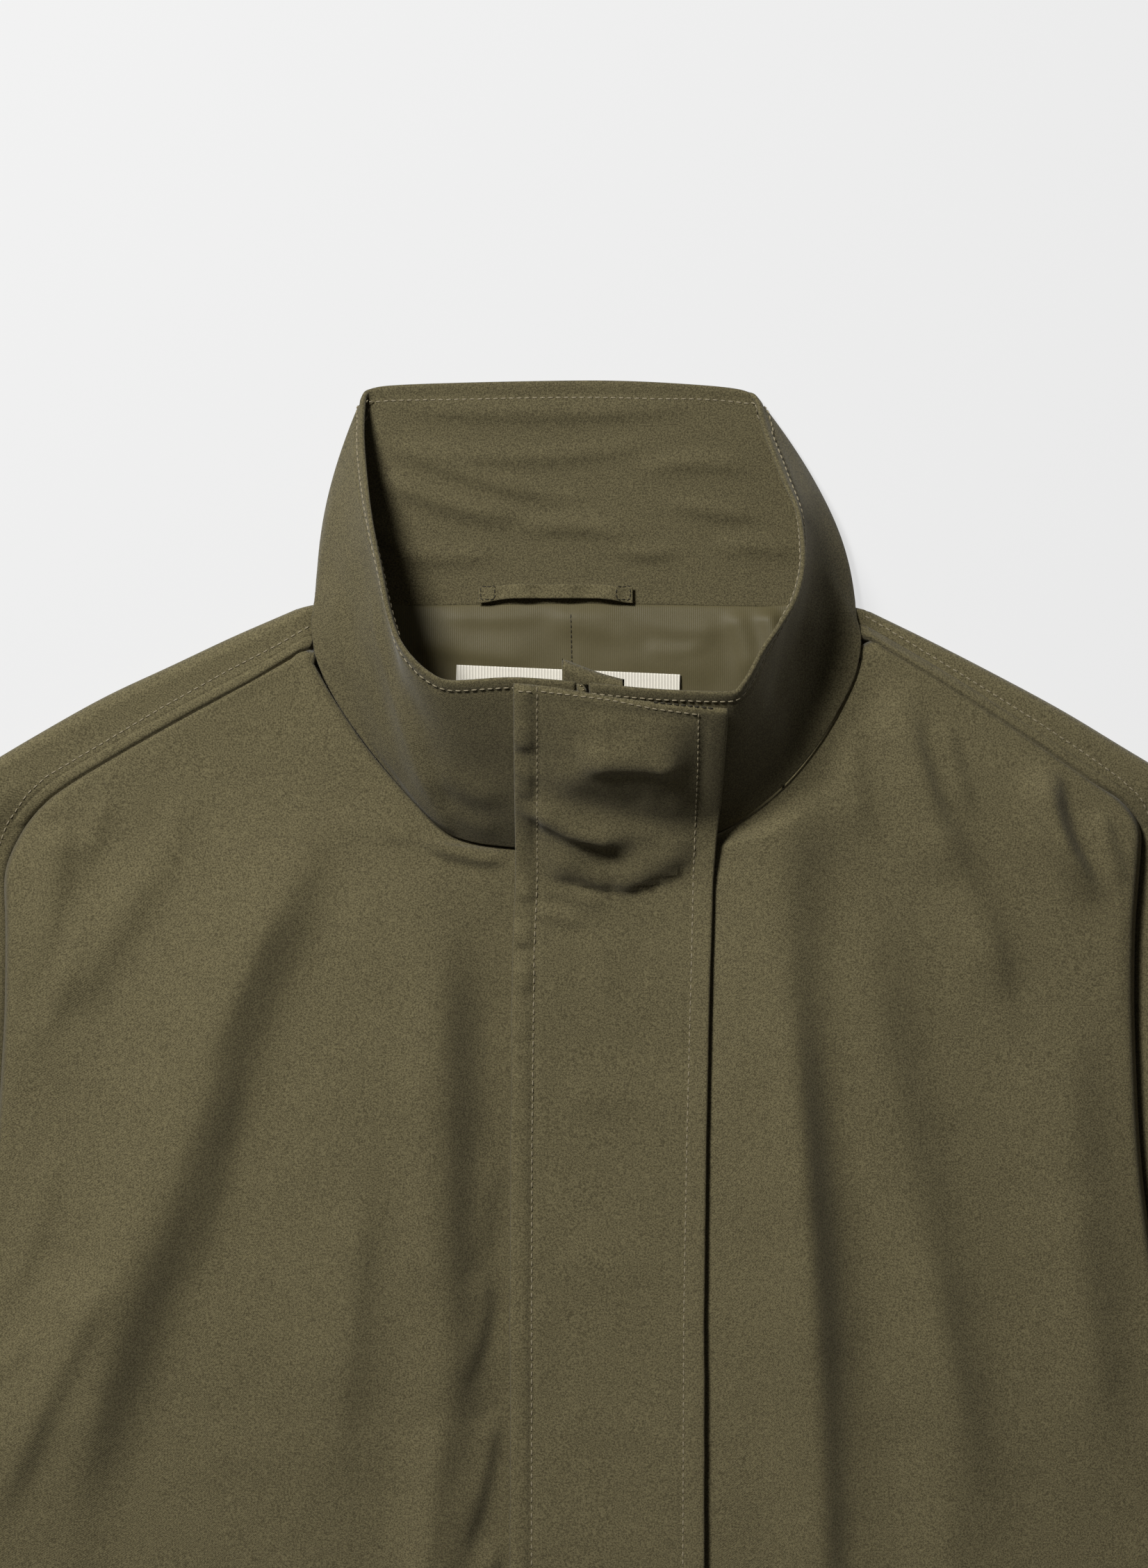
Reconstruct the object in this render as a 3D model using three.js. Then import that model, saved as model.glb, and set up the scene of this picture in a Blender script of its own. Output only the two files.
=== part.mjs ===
// A cotton jacket laid on its back, front up and collar towards +Y. Millimetres.
import * as THREE from 'three';

// Cloth and seams
const PLY = 1.4; // shell cloth, one layer
const DOUBLE = 2.0; // collar, placket and zip guard, two layers
const LINING_PLY = 1.2;
const LABEL_PLY = 1.0;
const GAP = 0.3; // between pieces that lie on each other
const SEAM = 1.8; // from a seam line to the edge of the piece beside it
const MIDDLE = { x: 0, y: 1.6 }; // middle of the laid jacket's outline

// Lengths along the jacket
const HEM_Y = -390;
const ARMPIT_Y = -17;
const ZIP_HALF = 2.8; // from the centre front to each front edge
const CURL = 5; // width of the edge that rolls down at an armhole or side seam
const SIDE_Z = 3.1;
const NECK = { half: 88, y: 309.1 }; // straight part of the back neck seam
const BACK = {
  shoulderRows: 8, // sleeve sections along each shoulder
  sideRow: 13, // first section of a front below the armpit
  pit: { right: -263.5, left: 259.5, below: 8 }, // corner under each armpit
  shoulderInset: 2.2,
  sideInset: 0.8,
  turnUp: 1.3, // how far its side edges rise
  turnWide: 4,
  turnStart: 12, // below the armpit
  turnLong: 20,
};

// Colour and finish of each cloth, and of the zip
const SHELL = { color: 0x645b40, roughness: 0.9, metalness: 0 };
const LINING_CLOTH = { color: 0x564f3b, roughness: 0.55, metalness: 0 };
const LABEL_CLOTH = { color: 0xf3eee1, roughness: 0.6, metalness: 0 };
const ZIP_METAL = { color: 0x8a7a5c, roughness: 0.4, metalness: 1 };

// One row a section of the sleeve with its saddle strip, neck to armpit, for each side.
// seam: front seam line; edge: the fold at the outline; under: back seam line, on the table.
// seamZ: height at the front seam; top: height of the upper layer.
const SLEEVE_COLUMNS = ['seamX', 'seamY', 'edgeX', 'edgeY', 'underX', 'underY', 'seamZ', 'top'];
const SLEEVE_LEFT = table(SLEEVE_COLUMNS, [
  [125.2, 294.0, 122.8, 306.6, 99.0, 304.2, 12.6, 11.0],
  [145.0, 281.9, 150.0, 293.6, 138.9, 272.3, 12.6, 11.5],
  [170.0, 266.3, 178.0, 279.3, 167.0, 258.0, 12.6, 11.5],
  [197.0, 248.6, 207.0, 263.7, 196.0, 242.4, 12.4, 11.5],
  [221.1, 232.2, 233.0, 248.0, 219.0, 227.0, 11.6, 11.0],
  [235.0, 222.6, 260.0, 231.5, 232.0, 214.0, 8.5, 10.5],
  [242.6, 209.0, 290.0, 211.5, 238.0, 197.0, 4.6, 10.0],
  [243.0, 190.0, 318.0, 189.5, 240.0, 176.0, 3.2, 10.0],
  [240.5, 160.0, 350.0, 158.0, 239.0, 148.0, 3.0, 10.0],
  [241.5, 115.0, 384.0, 112.0, 240.5, 110.0, 3.0, 10.0],
  [245.5, 70.0, 402.0, 80.0, 244.5, 66.0, 3.0, 10.0],
  [250.5, 20.0, 420.5, 46.0, 250.0, 18.0, 3.0, 10.0],
  [263.0, -17.0, 433.0, 22.0, 263.6, -17.6, 2.9, 10.0],
]);
const SLEEVE_RIGHT = table(SLEEVE_COLUMNS, [
  [-122.4, 288.6, -122.0, 307.6, -96.5, 304.6, 12.6, 11.0],
  [-143.0, 276.0, -149.0, 296.2, -138.0, 275.0, 12.6, 11.5],
  [-168.0, 262.7, -178.0, 282.6, -167.0, 261.5, 12.6, 11.5],
  [-194.0, 248.0, -206.0, 269.5, -195.0, 248.0, 12.4, 11.5],
  [-220.0, 232.6, -234.0, 253.9, -222.0, 231.0, 11.6, 11.0],
  [-234.0, 222.0, -262.0, 237.0, -234.0, 217.0, 8.5, 10.5],
  [-244.0, 209.0, -292.0, 217.0, -241.0, 199.0, 4.6, 10.0],
  [-250.8, 190.0, -320.0, 193.0, -246.5, 178.0, 3.2, 10.0],
  [-250.0, 160.0, -352.0, 160.0, -248.0, 150.0, 3.0, 10.0],
  [-251.5, 115.0, -386.0, 114.0, -250.5, 110.0, 3.0, 10.0],
  [-254.5, 70.0, -404.0, 81.0, -253.5, 66.0, 3.0, 10.0],
  [-259.0, 20.0, -422.0, 47.0, -258.5, 18.0, 3.0, 10.0],
  [-267.0, -17.0, -436.0, 22.0, -267.6, -17.6, 2.9, 10.0],
]);
// The rest of either sleeve, armpit to cuff.
const SLEEVE_LOWER = table(SLEEVE_COLUMNS, [
  [278.5, -66.0, 445.5, -28.0, 279.2, -66.2, 2.9, 10.0],
  [294.0, -113.6, 455.5, -75.2, 294.8, -113.8, 2.9, 10.0],
  [324.0, -210.2, 477.0, -172.5, 324.8, -210.4, 2.9, 9.5],
  [354.4, -306.8, 498.5, -269.8, 355.2, -307.0, 2.9, 9.0],
  [384.8, -403.3, 520.0, -367.0, 385.6, -403.1, 2.9, 8.0],
]);

// One row a section of each front, from the neck point to the hem.
// in: neck seam, then the zip; out: shoulder seam, armhole, then side seam. Heights at both ends and between.
const FRONT_COLUMNS = ['inX', 'inY', 'outX', 'outY', 'inZ', 'midZ', 'outZ'];
const FRONT_LEFT = table(FRONT_COLUMNS, [
  [122.0, 286.0, 130.5, 290.4, 12.5, 12.5, 12.6],
  [116.4, 270.8, 158.0, 273.9, 13.5, 12.5, 12.6],
  [106.5, 252.3, 184.0, 257.2, 14.5, 13.0, 12.5],
  [92.1, 233.6, 206.0, 242.5, 15.5, 13.0, 12.0],
  [76.0, 219.3, 222.0, 231.6, 16.0, 13.0, 11.0],
  [58.8, 209.3, 235.0, 222.6, 16.2, 13.0, 8.6],
  [38.0, 204.2, 242.6, 209.0, 16.2, 13.0, 5.2],
  [18.0, 201.8, 243.0, 190.0, 16.2, 13.0, 4.2],
  [ZIP_HALF, 200.6, 241.0, 168.0, 16.2, 13.0, 4.2],
  [ZIP_HALF, 172.0, 240.8, 140.0, 13.5, 13.0, 4.2],
  [ZIP_HALF, 115.0, 241.5, 115.0, 11.0, 13.0, 4.2],
  [ZIP_HALF, 60.0, 246.5, 60.0, 10.0, 13.0, 4.2],
  [ZIP_HALF, 0.0, 256.0, 0.0, 9.5, 12.5, 4.2],
  [ZIP_HALF, -60.0, 263.0, -60.0, 9.0, 12.0, SIDE_Z],
  [ZIP_HALF, -140.0, 266.5, -140.0, 9.0, 11.5, SIDE_Z],
  [ZIP_HALF, -220.0, 269.5, -220.0, 9.0, 11.0, SIDE_Z],
  [ZIP_HALF, -300.0, 272.5, -300.0, 9.0, 10.5, SIDE_Z],
  [ZIP_HALF, HEM_Y, 275.0, HEM_Y, 9.0, 10.0, SIDE_Z],
]);
const FRONT_RIGHT = table(FRONT_COLUMNS, [
  [-117.4, 283.6, -126.0, 285.8, 12.5, 12.5, 12.6],
  [-109.0, 268.6, -156.0, 269.1, 13.5, 12.5, 12.6],
  [-94.5, 247.3, -184.0, 253.7, 14.5, 13.0, 12.5],
  [-77.5, 227.5, -206.0, 241.0, 15.5, 13.0, 12.0],
  [-61.0, 211.1, -222.0, 231.3, 16.0, 13.0, 11.0],
  [-46.7, 205.1, -234.0, 222.0, 16.2, 13.0, 8.6],
  [-28.0, 202.7, -244.0, 209.0, 16.2, 13.0, 5.2],
  [-14.0, 201.4, -250.8, 190.0, 16.2, 13.0, 4.2],
  [-ZIP_HALF, 200.6, -250.2, 168.0, 16.2, 13.0, 4.2],
  [-ZIP_HALF, 172.0, -250.4, 140.0, 13.5, 13.0, 4.2],
  [-ZIP_HALF, 115.0, -251.5, 115.0, 11.0, 13.0, 4.2],
  [-ZIP_HALF, 60.0, -255.4, 60.0, 10.0, 13.0, 4.2],
  [-ZIP_HALF, 0.0, -262.0, 0.0, 9.5, 12.5, 4.2],
  [-ZIP_HALF, -60.0, -266.0, -60.0, 9.0, 12.0, SIDE_Z],
  [-ZIP_HALF, -140.0, -268.5, -140.0, 9.0, 11.5, SIDE_Z],
  [-ZIP_HALF, -220.0, -271.0, -220.0, 9.0, 11.0, SIDE_Z],
  [-ZIP_HALF, -300.0, -273.0, -300.0, 9.0, 10.5, SIDE_Z],
  [-ZIP_HALF, HEM_Y, -275.0, HEM_Y, 9.0, 10.0, SIDE_Z],
]);

// One row a section of the collar, from the zip round the side to the back centre.
// base: neck seam; mid: halfway up; rim: top edge.
const COLLAR_COLUMNS = [
  'baseX', 'baseY', 'baseZ', 'midX', 'midY', 'midZ', 'rimX', 'rimY', 'rimZ',
];
const COLLAR_RIGHT = table(COLLAR_COLUMNS, [
  [-ZIP_HALF, 202.2, 17.5, -ZIP_HALF, 237, 49, -ZIP_HALF, 274.6, 72],
  [-28.8, 204.3, 17.5, -29, 239, 48, -29.4, 276.5, 72],
  [-47.4, 206.7, 17.5, -49, 240, 46, -54, 275.1, 71],
  [-60.3, 212.4, 17.0, -62, 245, 43, -66, 279.5, 70],
  [-76.5, 228.6, 16.5, -72, 259, 40, -76.5, 290.4, 67],
  [-93.0, 248.1, 15.5, -80, 280, 37, -82, 303, 62],
  [-107.4, 269.4, 14.5, -89, 302, 33, -86, 322, 55],
  [-115.8, 290.0, 13.0, -98, 322, 27, -90, 343, 44],
  [-116.5, 300.0, 11.5, -105, 338, 18, -92.8, 365, 28],
  [-114.5, 308.0, 9.0, -109.5, 347, 10.5, -94.4, 386, 13],
  [-112.2, 313.5, 4.6, -110.2, 352, 4.4, -93.8, 400.5, 4.2],
  [-106.0, 312.0, 1.0, -105, 353, 1.0, -89, 403.6, 1.0],
  [-75.0, 308.4, 1.0, -72, 356, 1.0, -60, 405.3, 1.0],
]);
const COLLAR_BACK = table(COLLAR_COLUMNS, [[0, 309.3, 1.0, 2, 357, 1.0, 4.8, 406.5, 1.0]]);
const COLLAR_LEFT = table(COLLAR_COLUMNS, [
  [ZIP_HALF, 202.2, 17.5, ZIP_HALF, 237, 49, ZIP_HALF, 274.2, 72],
  [30.0, 205.0, 17.5, 30.5, 238, 48, 31, 271.5, 72],
  [58.5, 211.0, 17.0, 60, 241, 44, 61.5, 270.3, 71],
  [82.8, 227.6, 16.5, 79, 252, 36, 68.5, 275.5, 70],
  [99.0, 244.8, 15.5, 86, 268, 31, 76.2, 288.9, 67],
  [110.4, 262.8, 14.5, 91, 288, 28, 84.3, 300.3, 63],
  [118.5, 280.5, 13.5, 96, 306, 26, 91, 312, 58],
  [120.4, 293.7, 12.0, 99.5, 323, 23, 94, 328, 51],
  [118.6, 301.0, 10.5, 101.5, 335, 19, 92.4, 345.6, 41],
  [117.6, 306.5, 8.5, 104, 345, 13, 85, 364.5, 27],
  [117.2, 309.8, 6.0, 105.6, 350, 7.5, 78, 385, 12],
  [115.6, 311.8, 3.4, 104.8, 352.6, 3.4, 74.6, 398.8, 3.4],
  [110.0, 310.6, 1.0, 100, 353.6, 1.0, 70.6, 402, 1.0],
  [79.2, 308.0, 1.0, 72, 355, 1.0, 50, 404.6, 1.0],
]);

// One row a fold: its crest from start over middle to end, its widths each side and its height.
// rise: width left of the crest seen from its start; fall: width right of it.
const FOLD_COLUMNS = ['x0', 'y0', 'x1', 'y1', 'x2', 'y2', 'rise', 'fall', 'height'];
const FOLDS = table(FOLD_COLUMNS, [
  [-104, 228, -158, 108, -240, -150, 16, 34, 9],
  [-62, 205, -94, 90, -104, -180, 26, 38, 6],
  [-226, 216, -228, 190, -236, 140, 8, 10, 3],
  [-184, 200, -205, 165, -228, 128, 10, 12, 3],
  [-206, 24, -228, -24, -262, -100, 8, 20, 5],
  [88, 240, 88, 120, 118, -150, 18, 30, 8],
  [116, 196, 138, 66, 184, -150, 16, 18, 6],
  [132, 284, 145, 232, 161, 184, 9, 12, 4],
  [150, 226, 168, 178, 186, 136, 9, 10, 3.5],
  [203, 242, 206, 208, 224, 178, 5, 10, 3.5],
  [206, 150, 214, 40, 232, -90, 14, 18, 4],
  [-168, -190, -176, -290, -190, -380, 16, 22, 4],
  [-86, -200, -92, -300, -96, -385, 16, 20, 3],
  [96, -190, 100, -290, 104, -385, 18, 18, 4],
  [196, -170, 204, -270, 214, -372, 16, 20, 4],
  [300, 160, 340, 30, 372, -90, 16, 22, 5],
  [352, -96, 392, -120, 440, -120, 12, 16, 4],
  [356, -150, 400, -158, 446, -176, 12, 14, 3],
  [404, -210, 424, -290, 446, -360, 14, 18, 3],
  [-312, 150, -350, 24, -380, -80, 18, 20, 5],
  [-346, -84, -392, -112, -446, -104, 14, 12, 4],
  [-362, -148, -404, -166, -452, -164, 12, 12, 3],
  [-412, -220, -428, -294, -440, -356, 16, 16, 3],
]);

// Placket: its edges from the collar rim down, and how far its free edge stands off.
const PLACKET_EDGES = table(['y', 'sewn', 'free', 'lift'], [
  [240, -28.6, 58.4, 0.6],
  [192, -28.8, 57.2, 0.8],
  [161, -30.2, 56.6, 1.0],
  [77, -31.2, 54.5, 1.2],
  [0, -31.4, 53.2, 1.8],
  [-107, -31.4, 52.8, 2.4],
  [HEM_Y, -31.4, 52.8, 1.6],
]);
const PLACKET_TOP = { sewn: 0.985, free: 0.92 }; // how far up the collar it reaches
const GUARD = { left: -12.4, right: 19.6, riseLeft: 9.5, riseRight: 2.0 };
const COLLAR_TALL = 95;
const ZIP_TOP = 0.99; // how far up the collar the zip reaches

// Where a strip leaves the collar and reaches the body: over the corner, or close under it.
const BRIDGED = { v: 0.1, y: 192 };
const TUCKED = { v: 0, y: 200 };

const LINING = { halfTop: 92, halfLow: 84, top: 307.2, low: 190 };
const LABEL = { x: -6.8, y: 261.0, wide: 97, tall: 40, turn: -0.043 };
const LOOP = { left: -45.0, right: 21.9, y: 314.2, wide: 7.2, ply: 1.6, slack: 1.8 };

// Names the columns of a table, so that a row is read by name.
function table(columns, rows) {
  return rows.map((row) => Object.fromEntries(columns.map((name, i) => [name, row[i]])));
}

function mix(a, b, t) {
  return a + (b - a) * t;
}

function smooth(t) {
  const s = Math.min(Math.max(t, 0), 1);
  return s * s * (3 - 2 * s);
}

function mirrored(row) {
  const other = { ...row };
  for (const name of Object.keys(row)) if (name.endsWith('X')) other[name] = -row[name];
  return other;
}

// A smooth curve through the rows of a table, each column by itself. t runs from 0 to the last row's number.
function through(rows, t) {
  const i = Math.min(Math.floor(t), rows.length - 2);
  const s = t - i;
  const [p, q] = [rows[i], rows[i + 1]];
  const before = rows[i - 1] ?? p;
  const after = rows[i + 2] ?? q;
  const out = {};
  for (const name of Object.keys(p)) {
    const rise = q[name] - p[name];
    const a = limited((q[name] - before[name]) / 2, rise, p[name] - before[name]);
    const b = limited((after[name] - p[name]) / 2, rise, after[name] - q[name]);
    out[name] =
      (2 * s ** 3 - 3 * s ** 2 + 1) * p[name] + (s ** 3 - 2 * s ** 2 + s) * a +
      (3 * s ** 2 - 2 * s ** 3) * q[name] + (s ** 3 - s ** 2) * b;
  }
  return out;
}

// Keeps a slope from overshooting where rows are unevenly spaced.
function limited(slope, rise, other) {
  if (rise * other <= 0) return 0;
  const most = 2 * Math.min(Math.abs(rise), Math.abs(other));
  return Math.sign(slope) * Math.min(Math.abs(slope), most);
}

// A value read from a table whose rows run down in y.
function atY(rows, name, y) {
  let i = 0;
  while (i < rows.length - 2 && y < rows[i + 1].y) i += 1;
  const t = (rows[i].y - y) / (rows[i].y - rows[i + 1].y);
  return mix(rows[i][name], rows[i + 1][name], Math.min(Math.max(t, 0), 1));
}

// Height that the folds add at a point of the plan.
function folds(x, y) {
  let height = 0;
  for (const fold of FOLDS) {
    const path = [[fold.x0, fold.y0], [fold.x1, fold.y1], [fold.x2, fold.y2]];
    let best = null;
    for (let i = 0; i < 2; i += 1) {
      const [[ax, ay], [bx, by]] = [path[i], path[i + 1]];
      const length = Math.hypot(bx - ax, by - ay);
      const [dx, dy] = [(bx - ax) / length, (by - ay) / length];
      const along = Math.min(Math.max((x - ax) * dx + (y - ay) * dy, 0), length);
      const off = Math.hypot(x - ax - along * dx, y - ay - along * dy);
      const side = dx * (y - ay) - dy * (x - ax);
      if (!best || off < best.off) best = { off, side, at: (i + along / length) / 2 };
    }
    const width = best.side > 0 ? fold.rise : fold.fall;
    const fade = smooth(best.at / 0.3) * smooth((1 - best.at) / 0.3);
    height += fold.height * fade * Math.exp(-((best.off / width) ** 2));
  }
  return height;
}

// The collar's middle surface: t round the ring, v from neck seam to rim.
const COLLAR = [...COLLAR_RIGHT, ...COLLAR_BACK, ...[...COLLAR_LEFT].reverse()];

function collar(t, v) {
  const row = through(COLLAR, t);
  const weights = { base: (1 - v) * (1 - 2 * v), mid: 4 * v * (1 - v), rim: v * (2 * v - 1) };
  return new THREE.Vector3(
    ...['X', 'Y', 'Z'].map((axis) =>
      Object.entries(weights).reduce((sum, [level, w]) => sum + w * row[level + axis], 0)),
  );
}

// Where on the ring the neck seam has this x, left and right of the zip.
function ringAt(x) {
  const side = x < 0 ? COLLAR_RIGHT : COLLAR_LEFT;
  let i = 0;
  while (Math.abs(side[i + 1].baseX) < Math.abs(x)) i += 1;
  const part = (x - side[i].baseX) / (side[i + 1].baseX - side[i].baseX);
  const t = i + Math.max(part, 0);
  return x < 0 ? t : COLLAR.length - 1 - t;
}

// A point of the collar's front above neck seam x; between the zip edges it's the mean of both.
function collarFront(x, v) {
  if (Math.abs(x) >= ZIP_HALF) return collar(ringAt(x), v);
  const t = (x + ZIP_HALF) / (2 * ZIP_HALF);
  return collar(ringAt(-ZIP_HALF), v).lerp(collar(ringAt(ZIP_HALF), v), t);
}

// Height of the fronts' middle surface near the zip, where the placket lies on them.
function centreZ(x, y) {
  const side = x < 0 ? FRONT_RIGHT : FRONT_LEFT;
  const rows = side.slice(8).map((row) => ({ y: row.inY, z: row.inZ, mid: row.midZ, out: row.outX }));
  const across = Math.abs(x / atY(rows, 'out', y));
  const z = mix(atY(rows, 'z', y), atY(rows, 'mid', y), smooth(across * LEVEL_OUT));
  return z + folds(x, y) * smooth(Math.abs(x) / 30);
}

// Turns a grid of middle points into a closed wall of even thickness. lift moves the wall along its normal.
function wall(name, grid, ply, look, lift = 0) {
  const rows = grid.length;
  const columns = grid[0].length;
  const faces = [[], []];
  const u = new THREE.Vector3();
  const v = new THREE.Vector3();
  for (let i = 0; i < rows; i += 1) {
    for (let j = 0; j < columns; j += 1) {
      u.subVectors(grid[Math.min(i + 1, rows - 1)][j], grid[Math.max(i - 1, 0)][j]).normalize();
      v.subVectors(grid[i][Math.min(j + 1, columns - 1)], grid[i][Math.max(j - 1, 0)]).normalize();
      const normal = u.cross(v).normalize();
      for (const [k, side] of [[0, 1], [1, -1]]) {
        const p = grid[i][j].clone().addScaledVector(normal, lift + (side * ply) / 2);
        faces[k].push([p.x - MIDDLE.x, p.y - MIDDLE.y, Math.max(p.z, 0)]);
      }
    }
  }
  const count = rows * columns;
  const index = [];
  const quad = (a, b, c, d) => index.push(a, b, c, a, c, d);
  for (let i = 0; i + 1 < rows; i += 1) {
    for (let j = 0; j + 1 < columns; j += 1) {
      const a = i * columns + j;
      quad(a, a + columns, a + columns + 1, a + 1);
      quad(count + a, count + a + 1, count + a + columns + 1, count + a + columns);
    }
  }
  const rim = [];
  for (let j = 0; j + 1 < columns; j += 1) rim.push(j);
  for (let i = 0; i + 1 < rows; i += 1) rim.push(i * columns + columns - 1);
  for (let j = columns - 1; j > 0; j -= 1) rim.push((rows - 1) * columns + j);
  for (let i = rows - 1; i > 0; i -= 1) rim.push(i * columns);
  rim.forEach((a, k) => {
    const b = rim[(k + 1) % rim.length];
    quad(a, b, count + b, count + a);
  });
  const geometry = new THREE.BufferGeometry();
  geometry.setAttribute('position', new THREE.Float32BufferAttribute(faces.flat(2), 3));
  geometry.setIndex(index);
  geometry.computeVertexNormals();
  const mesh = new THREE.Mesh(geometry, new THREE.MeshStandardMaterial(look));
  mesh.name = name;
  return mesh;
}

function grid(rows, columns, point) {
  return Array.from({ length: rows }, (_, i) =>
    Array.from({ length: columns }, (_, j) => point(i / (rows - 1), j / (columns - 1))));
}

// Column places that crowd towards the far end of a section, where the cloth rolls over.
const EDGE_STEPS = [1, 0.78, 0.56, 0.36, 0.18, 0.06, 0];
const LEVEL_OUT = 2.2; // a front reaches its middle height this many times sooner than its edge
const FOLD_STEPS = 6; // round a sleeve's fold
const FOLD_FOOT = 2; // how far the upper sleeve runs on under its fold

function sectionPlaces(length, even, roll) {
  const places = Array.from({ length: even }, (_, k) => ((length - roll) * k) / even);
  return [...places, ...EDGE_STEPS.map((s) => length - roll * s)];
}

// A front panel. Its edge rolls down to the armhole and side seams. side is 1 at the wearer's left, else -1.
function front(name, rows, steps, even, side) {
  const last = rows.length - 1;
  const points = [];
  for (let k = 0; k <= steps; k += 1) {
    const t = (k * last) / steps;
    const row = through(rows, t);
    const before = through(rows, Math.max(t - 0.02, 0));
    const after = through(rows, Math.min(t + 0.02, last));
    const along = new THREE.Vector2(after.outX - before.outX, after.outY - before.outY).normalize();
    const outX = row.outX + side * along.y * SEAM;
    const outY = row.outY - side * along.x * SEAM;
    const length = Math.hypot(outX - row.inX, outY - row.inY);
    const roll = Math.min(CURL, length * 0.4);
    points.push(sectionPlaces(length, even, roll).map((d) => {
      const share = d / length;
      const x = mix(row.inX, outX, share);
      const y = mix(row.inY, outY, share);
      const level = mix(row.inZ, row.midZ, smooth(share * LEVEL_OUT));
      const left = Math.max(length - d, 0) / roll;
      const rolled = left < 1 ? Math.sqrt(1 - (1 - left) ** 2) : 1;
      const calm = smooth(d / 26) * smooth((length - d) / 14);
      return new THREE.Vector3(x, y, mix(row.outZ, level, rolled) + folds(x, y) * calm);
    }));
  }
  if (side > 0) points.forEach((row) => row.reverse());
  return wall(name, points, PLY, SHELL);
}

// A sleeve with its saddle strip, in two pieces: the upper one from the front seam over and round the fold
// at the outline, the under one flat on the table from there to the back seam.
function sleeve(name, rows, steps, even, side) {
  const low = PLY / 2;
  const pieces = { upper: [], under: [] };
  for (let k = 0; k <= steps; k += 1) {
    const row = through(rows, (k * (rows.length - 1)) / steps);
    const seam = new THREE.Vector3(row.seamX, row.seamY, row.seamZ);
    const edge = new THREE.Vector3(row.edgeX, row.edgeY, 0);
    const under = new THREE.Vector3(row.underX, row.underY, low);
    const length = Math.hypot(edge.x - seam.x, edge.y - seam.y);
    const radius = Math.min((row.top - low) / 2, length * 0.3);
    const outward = new THREE.Vector3().subVectors(edge, under).setZ(0).normalize();
    const end = edge.clone().addScaledVector(outward, -radius);
    const line = [];
    for (let j = 0; j < even; j += 1) {
      const p = new THREE.Vector3().lerpVectors(seam, end, j / even);
      const d = (j / even) * length;
      p.z = mix(row.seamZ, 2 * radius + low, smooth(d / Math.min(30, length * 0.6)));
      p.z += folds(p.x, p.y) * smooth(d / 20) * smooth((length - radius - d) / 24);
      line.push(p);
    }
    for (let j = 0; j <= FOLD_STEPS; j += 1) {
      const angle = (Math.PI * j) / FOLD_STEPS;
      const p = end.clone().addScaledVector(outward, radius * Math.sin(angle));
      line.push(p.setZ(low + radius + radius * Math.cos(angle)));
    }
    const foot = end.clone().setZ(low);
    line.push(foot.clone().addScaledVector(outward, -FOLD_FOOT));
    pieces.upper.push(line);
    const start = foot.addScaledVector(outward, -FOLD_FOOT - 2 * GAP);
    pieces.under.push([0, 0.5, 1].map((t) => start.clone().lerp(under, t)));
  }
  return Object.entries(pieces).map(([part, points]) => {
    if (side > 0) points.forEach((row) => row.reverse());
    return wall(`${name}_${part}`, points, PLY, SHELL);
  });
}

// The back lies flat on the table; below the armpit its sides turn up to meet the fronts.
function back(name, downSteps, acrossSteps) {
  const seams = [SLEEVE_RIGHT, SLEEVE_LEFT].map((rows) =>
    rows.map((row) => ({ x: row.underX, y: row.underY })));
  const sides = [FRONT_RIGHT, FRONT_LEFT].map((rows, k) => {
    const side = k ? 1 : -1;
    const arm = seams[k].slice(BACK.shoulderRows - 1, -1).map((p) => ({ y: p.y, x: p.x - side * SEAM }));
    const pit = { y: ARMPIT_Y - BACK.pit.below, x: k ? BACK.pit.left : BACK.pit.right };
    const body = rows.slice(BACK.sideRow).map((row) => ({ y: row.outY, x: row.outX - side * BACK.sideInset }));
    return [...arm, pit, ...body];
  });
  const topY = (x) => {
    if (Math.abs(x) <= NECK.half) return NECK.y - SEAM;
    const corner = { x: Math.sign(x) * NECK.half, y: NECK.y };
    const seam = [corner, ...seams[x < 0 ? 0 : 1].slice(0, BACK.shoulderRows)];
    let i = 0;
    while (i < BACK.shoulderRows - 1 && Math.abs(x) > Math.abs(seam[i + 1].x)) i += 1;
    const share = (x - seam[i].x) / (seam[i + 1].x - seam[i].x);
    return mix(seam[i].y, seam[i + 1].y, share) - BACK.shoulderInset;
  };
  const armTop = Math.min(sides[0][0].y, sides[1][0].y);
  return wall(name, grid(downSteps, acrossSteps, (v, u) => {
    const low = mix(armTop, HEM_Y, v);
    const [left, right] = sides.map((rows) => atY(rows, 'x', low));
    const spread = 0.5 + 0.5 * Math.sin(Math.PI * (u - 0.5));
    const x = mix(left, right, spread);
    const y = low + (topY(x) - armTop) * (1 - v) ** 2;
    const inset = Math.min(x - left, right - x);
    const turn = smooth((ARMPIT_Y - BACK.turnStart - low) / BACK.turnLong);
    const rise = BACK.turnUp * turn * (1 - smooth(inset / BACK.turnWide));
    return new THREE.Vector3(x, y, PLY / 2 + rise);
  }), PLY, SHELL);
}

function collarWall(name, stepsPerRow, levels) {
  const steps = (COLLAR.length - 1) * stepsPerRow;
  return wall(name, grid(steps + 1, levels, (t, v) => collar(t * (COLLAR.length - 1), v)), DOUBLE, SHELL);
}

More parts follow.
